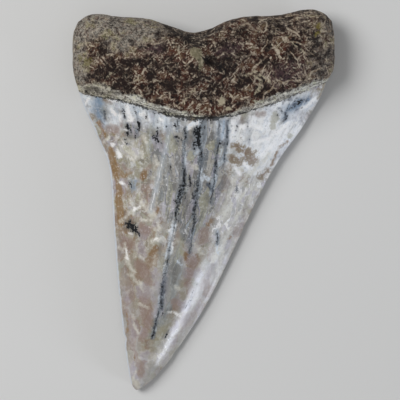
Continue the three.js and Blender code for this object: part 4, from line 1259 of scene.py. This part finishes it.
class BoneTones(bpy.types.PropertyGroup):
    """Colours of the root."""

    dark: tone("Dark bone", "1f100c")
    rust: tone("Rusty bone", "4e2617")
    plum: tone("Plum bone", "4a363a")
    pit: tone("Pits", "060404")
    fleck: tone("Bright filled canals", "c9bda9")
    fleck_dim: tone("Dim filled canals", "776350")
    dust: tone("Pale dust", "b0a99d")
    dust_dark: tone("Dark dust", "1e1a17")
    dust_green: tone("Olive dust", "dde0b8")
    dust_rose: tone("Rosy dust", "e0c4bc")
    border: tone("Pale border at the neck", "e2e0d6")
    border_dark: tone("Dark border at the neck", "76736d")
    khaki: tone("Sediment knob", "716b54")
    chalk: tone("Chalky canals", "b8ad94")
    ochre: tone("Ochre spots", "827630")
    moss: tone("Olive spots", "6c6430")


class EnamelTones(bpy.types.PropertyGroup):
    """Colours of the crown."""

    stone: tone("Grey enamel", "969592")
    sand: tone("Sandy enamel", "aaa49a")
    pale: tone("Pale zones", "e3e7ec")
    cool: tone("Cool zones", "858c92")
    dark: tone("Dark zones", "595e64")
    warm: tone("Warm zones", "897b70")
    olive: tone("Olive zones", "908e7a")
    azure: tone("Blue zones", "748fab")
    ice: tone("Ice-blue stripes", "a8b2bc")
    lilac: tone("Lilac flakes", "b1abb7")
    white: tone("White stain", "fcfbfa")
    cream: tone("Cream stain", "d2cfc4")
    chalk: tone("Chalky zone", "dddbd5")
    rose: tone("Rose stain", "8c776e")
    ochre: tone("Ochre stain", "86673c")
    umber: tone("Umber stain", "775a3b")
    moss: tone("Moss stain", "a19e87")
    shade: tone("Shaded grain", "65625e")
    frost: tone("Frosty stain", "cfd9e3")
    navy: tone("Navy stain", "333e4e")
    slate: tone("Haze along cracks", "6c7680")
    soot: tone("Soot specks", "101216")
    # Also the painted highlight along the left cutting edge.
    rim: tone("Cutting edges", "ccd3dc")


class Studio(bpy.types.PropertyGroup):
    """Floor, lights and camera."""

    floor: tone("Floor", "d9d9d8")
    key_power: FloatProperty(
        name="Key light", description="Power of the main light", default=1.6, subtype="POWER"
    )
    side_power: FloatProperty(
        name="Side light",
        description="Power of the low light on the right",
        default=0.78,
        subtype="POWER",
    )
    sky: FloatProperty(name="Sky", description="Strength of the even light", default=0.3)
    view_width: FloatProperty(
        name="View width",
        description="Width that the camera sees at the tooth",
        default=1.05 * float(LENGTH) * MM,
        subtype="DISTANCE",
    )
    distance: FloatProperty(
        name="Camera distance",
        description="Height of the camera above the tooth",
        default=0.6,
        subtype="DISTANCE",
    )


SETTINGS = {
    "tooth_form": ToothForm,
    "bone_tones": BoneTones,
    "enamel_tones": EnamelTones,
    "studio": Studio,
}


# ---------------------------------------------------------------- operators

class FOSSIL_OT_tooth(bpy.types.Operator):
    """Build the tooth's fine surface and its finish"""

    bl_idname = "fossil.tooth"
    bl_label = "Tooth"

    def execute(self, context):
        scene = context.scene
        mesh = mesh_of("fossil_tooth", *tooth_surface(scene.tooth_form))
        mesh.materials.append(fossil_material(scene.bone_tones, scene.enamel_tones))
        piece = bpy.data.objects.new("fossil_tooth", mesh)
        scene.collection.objects.link(piece)
        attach(piece, "root")
        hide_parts("tooth")
        return {"FINISHED"}


class FOSSIL_OT_stage(bpy.types.Operator):
    """Lay the pale floor, hang the soft lights and set the camera straight above"""

    bl_idname = "fossil.stage"
    bl_label = "Stage"

    def execute(self, context):
        scene, studio = context.scene, context.scene.studio
        self.floor(scene, studio)
        self.light(scene, "key_light", studio.key_power, *KEY_LIGHT)
        self.light(scene, "side_light", studio.side_power, *SIDE_LIGHT)
        self.sky(scene, studio)
        scene.view_settings.view_transform = "Standard"
        self.camera(scene, studio)
        return {"FINISHED"}

    def floor(self, scene, studio):
        reach = FLOOR_REACH * LENGTH * MM
        corners = [(-reach, -reach, 0), (reach, -reach, 0), (reach, reach, 0), (-reach, reach, 0)]
        mesh = bpy.data.meshes.new("floor")
        mesh.from_pydata(corners, [], [(0, 1, 2, 3)])
        mesh.materials.append(plain_material("floor", studio.floor[:3], FLOOR_ROUGHNESS))
        floor = bpy.data.objects.new("floor", mesh)
        scene.collection.objects.link(floor)

    def light(self, scene, name, power, size, place, colour):
        lamp = bpy.data.lights.new(name, "AREA")
        lamp.shape, lamp.size, lamp.energy = "DISK", size, power
        lamp.color = colour
        hung = bpy.data.objects.new(name, lamp)
        hung.location = place
        aim = -hung.location
        hung.rotation_euler = aim.to_track_quat("-Z", "Y").to_euler()
        scene.collection.objects.link(hung)

    def sky(self, scene, studio):
        world = bpy.data.worlds.new("soft_sky")
        world.use_nodes = True
        background = world.node_tree.nodes["Background"]
        background.inputs["Strength"].default_value = studio.sky
        background.inputs["Color"].default_value = SKY_COLOUR
        scene.world = world

    def camera(self, scene, studio):
        lens = bpy.data.cameras.new("camera")
        lens.sensor_width = 36.0
        lens.lens = lens.sensor_width * studio.distance / studio.view_width
        lens.clip_start, lens.clip_end = 0.01, 10.0
        camera = bpy.data.objects.new("camera", lens)
        height = studio.distance + VIEW_LEVEL * THICKNESS * MM
        camera.location = (VIEW_SHIFT * WIDTH * MM, 0.0, height)
        scene.collection.objects.link(camera)
        scene.camera = camera


class FOSSIL_PT_panel(bpy.types.Panel):
    """The builder's steps and settings, in the 3D view's sidebar"""

    bl_idname = "FOSSIL_PT_panel"
    bl_label = "Fossil tooth"
    bl_space_type = "VIEW_3D"
    bl_region_type = "UI"
    bl_category = "Fossil"

    def draw(self, context):
        for step in STEPS:
            self.layout.operator(step.bl_idname)
        for name in SETTINGS:
            box = self.layout.box()
            group = getattr(context.scene, name)
            for key in group.__annotations__:
                box.prop(group, key)


STEPS = (FOSSIL_OT_tooth, FOSSIL_OT_stage)
CLASSES = (*SETTINGS.values(), *STEPS, FOSSIL_PT_panel)


def register():
    for cls in CLASSES:
        bpy.utils.register_class(cls)
    for name, group in SETTINGS.items():
        setattr(bpy.types.Scene, name, PointerProperty(type=group))


def unregister():
    for name in SETTINGS:
        delattr(bpy.types.Scene, name)
    for cls in reversed(CLASSES):
        bpy.utils.unregister_class(cls)


def main():
    register()
    bpy.ops.fossil.tooth()
    bpy.ops.fossil.stage()


if __name__ == "__main__":
    main()
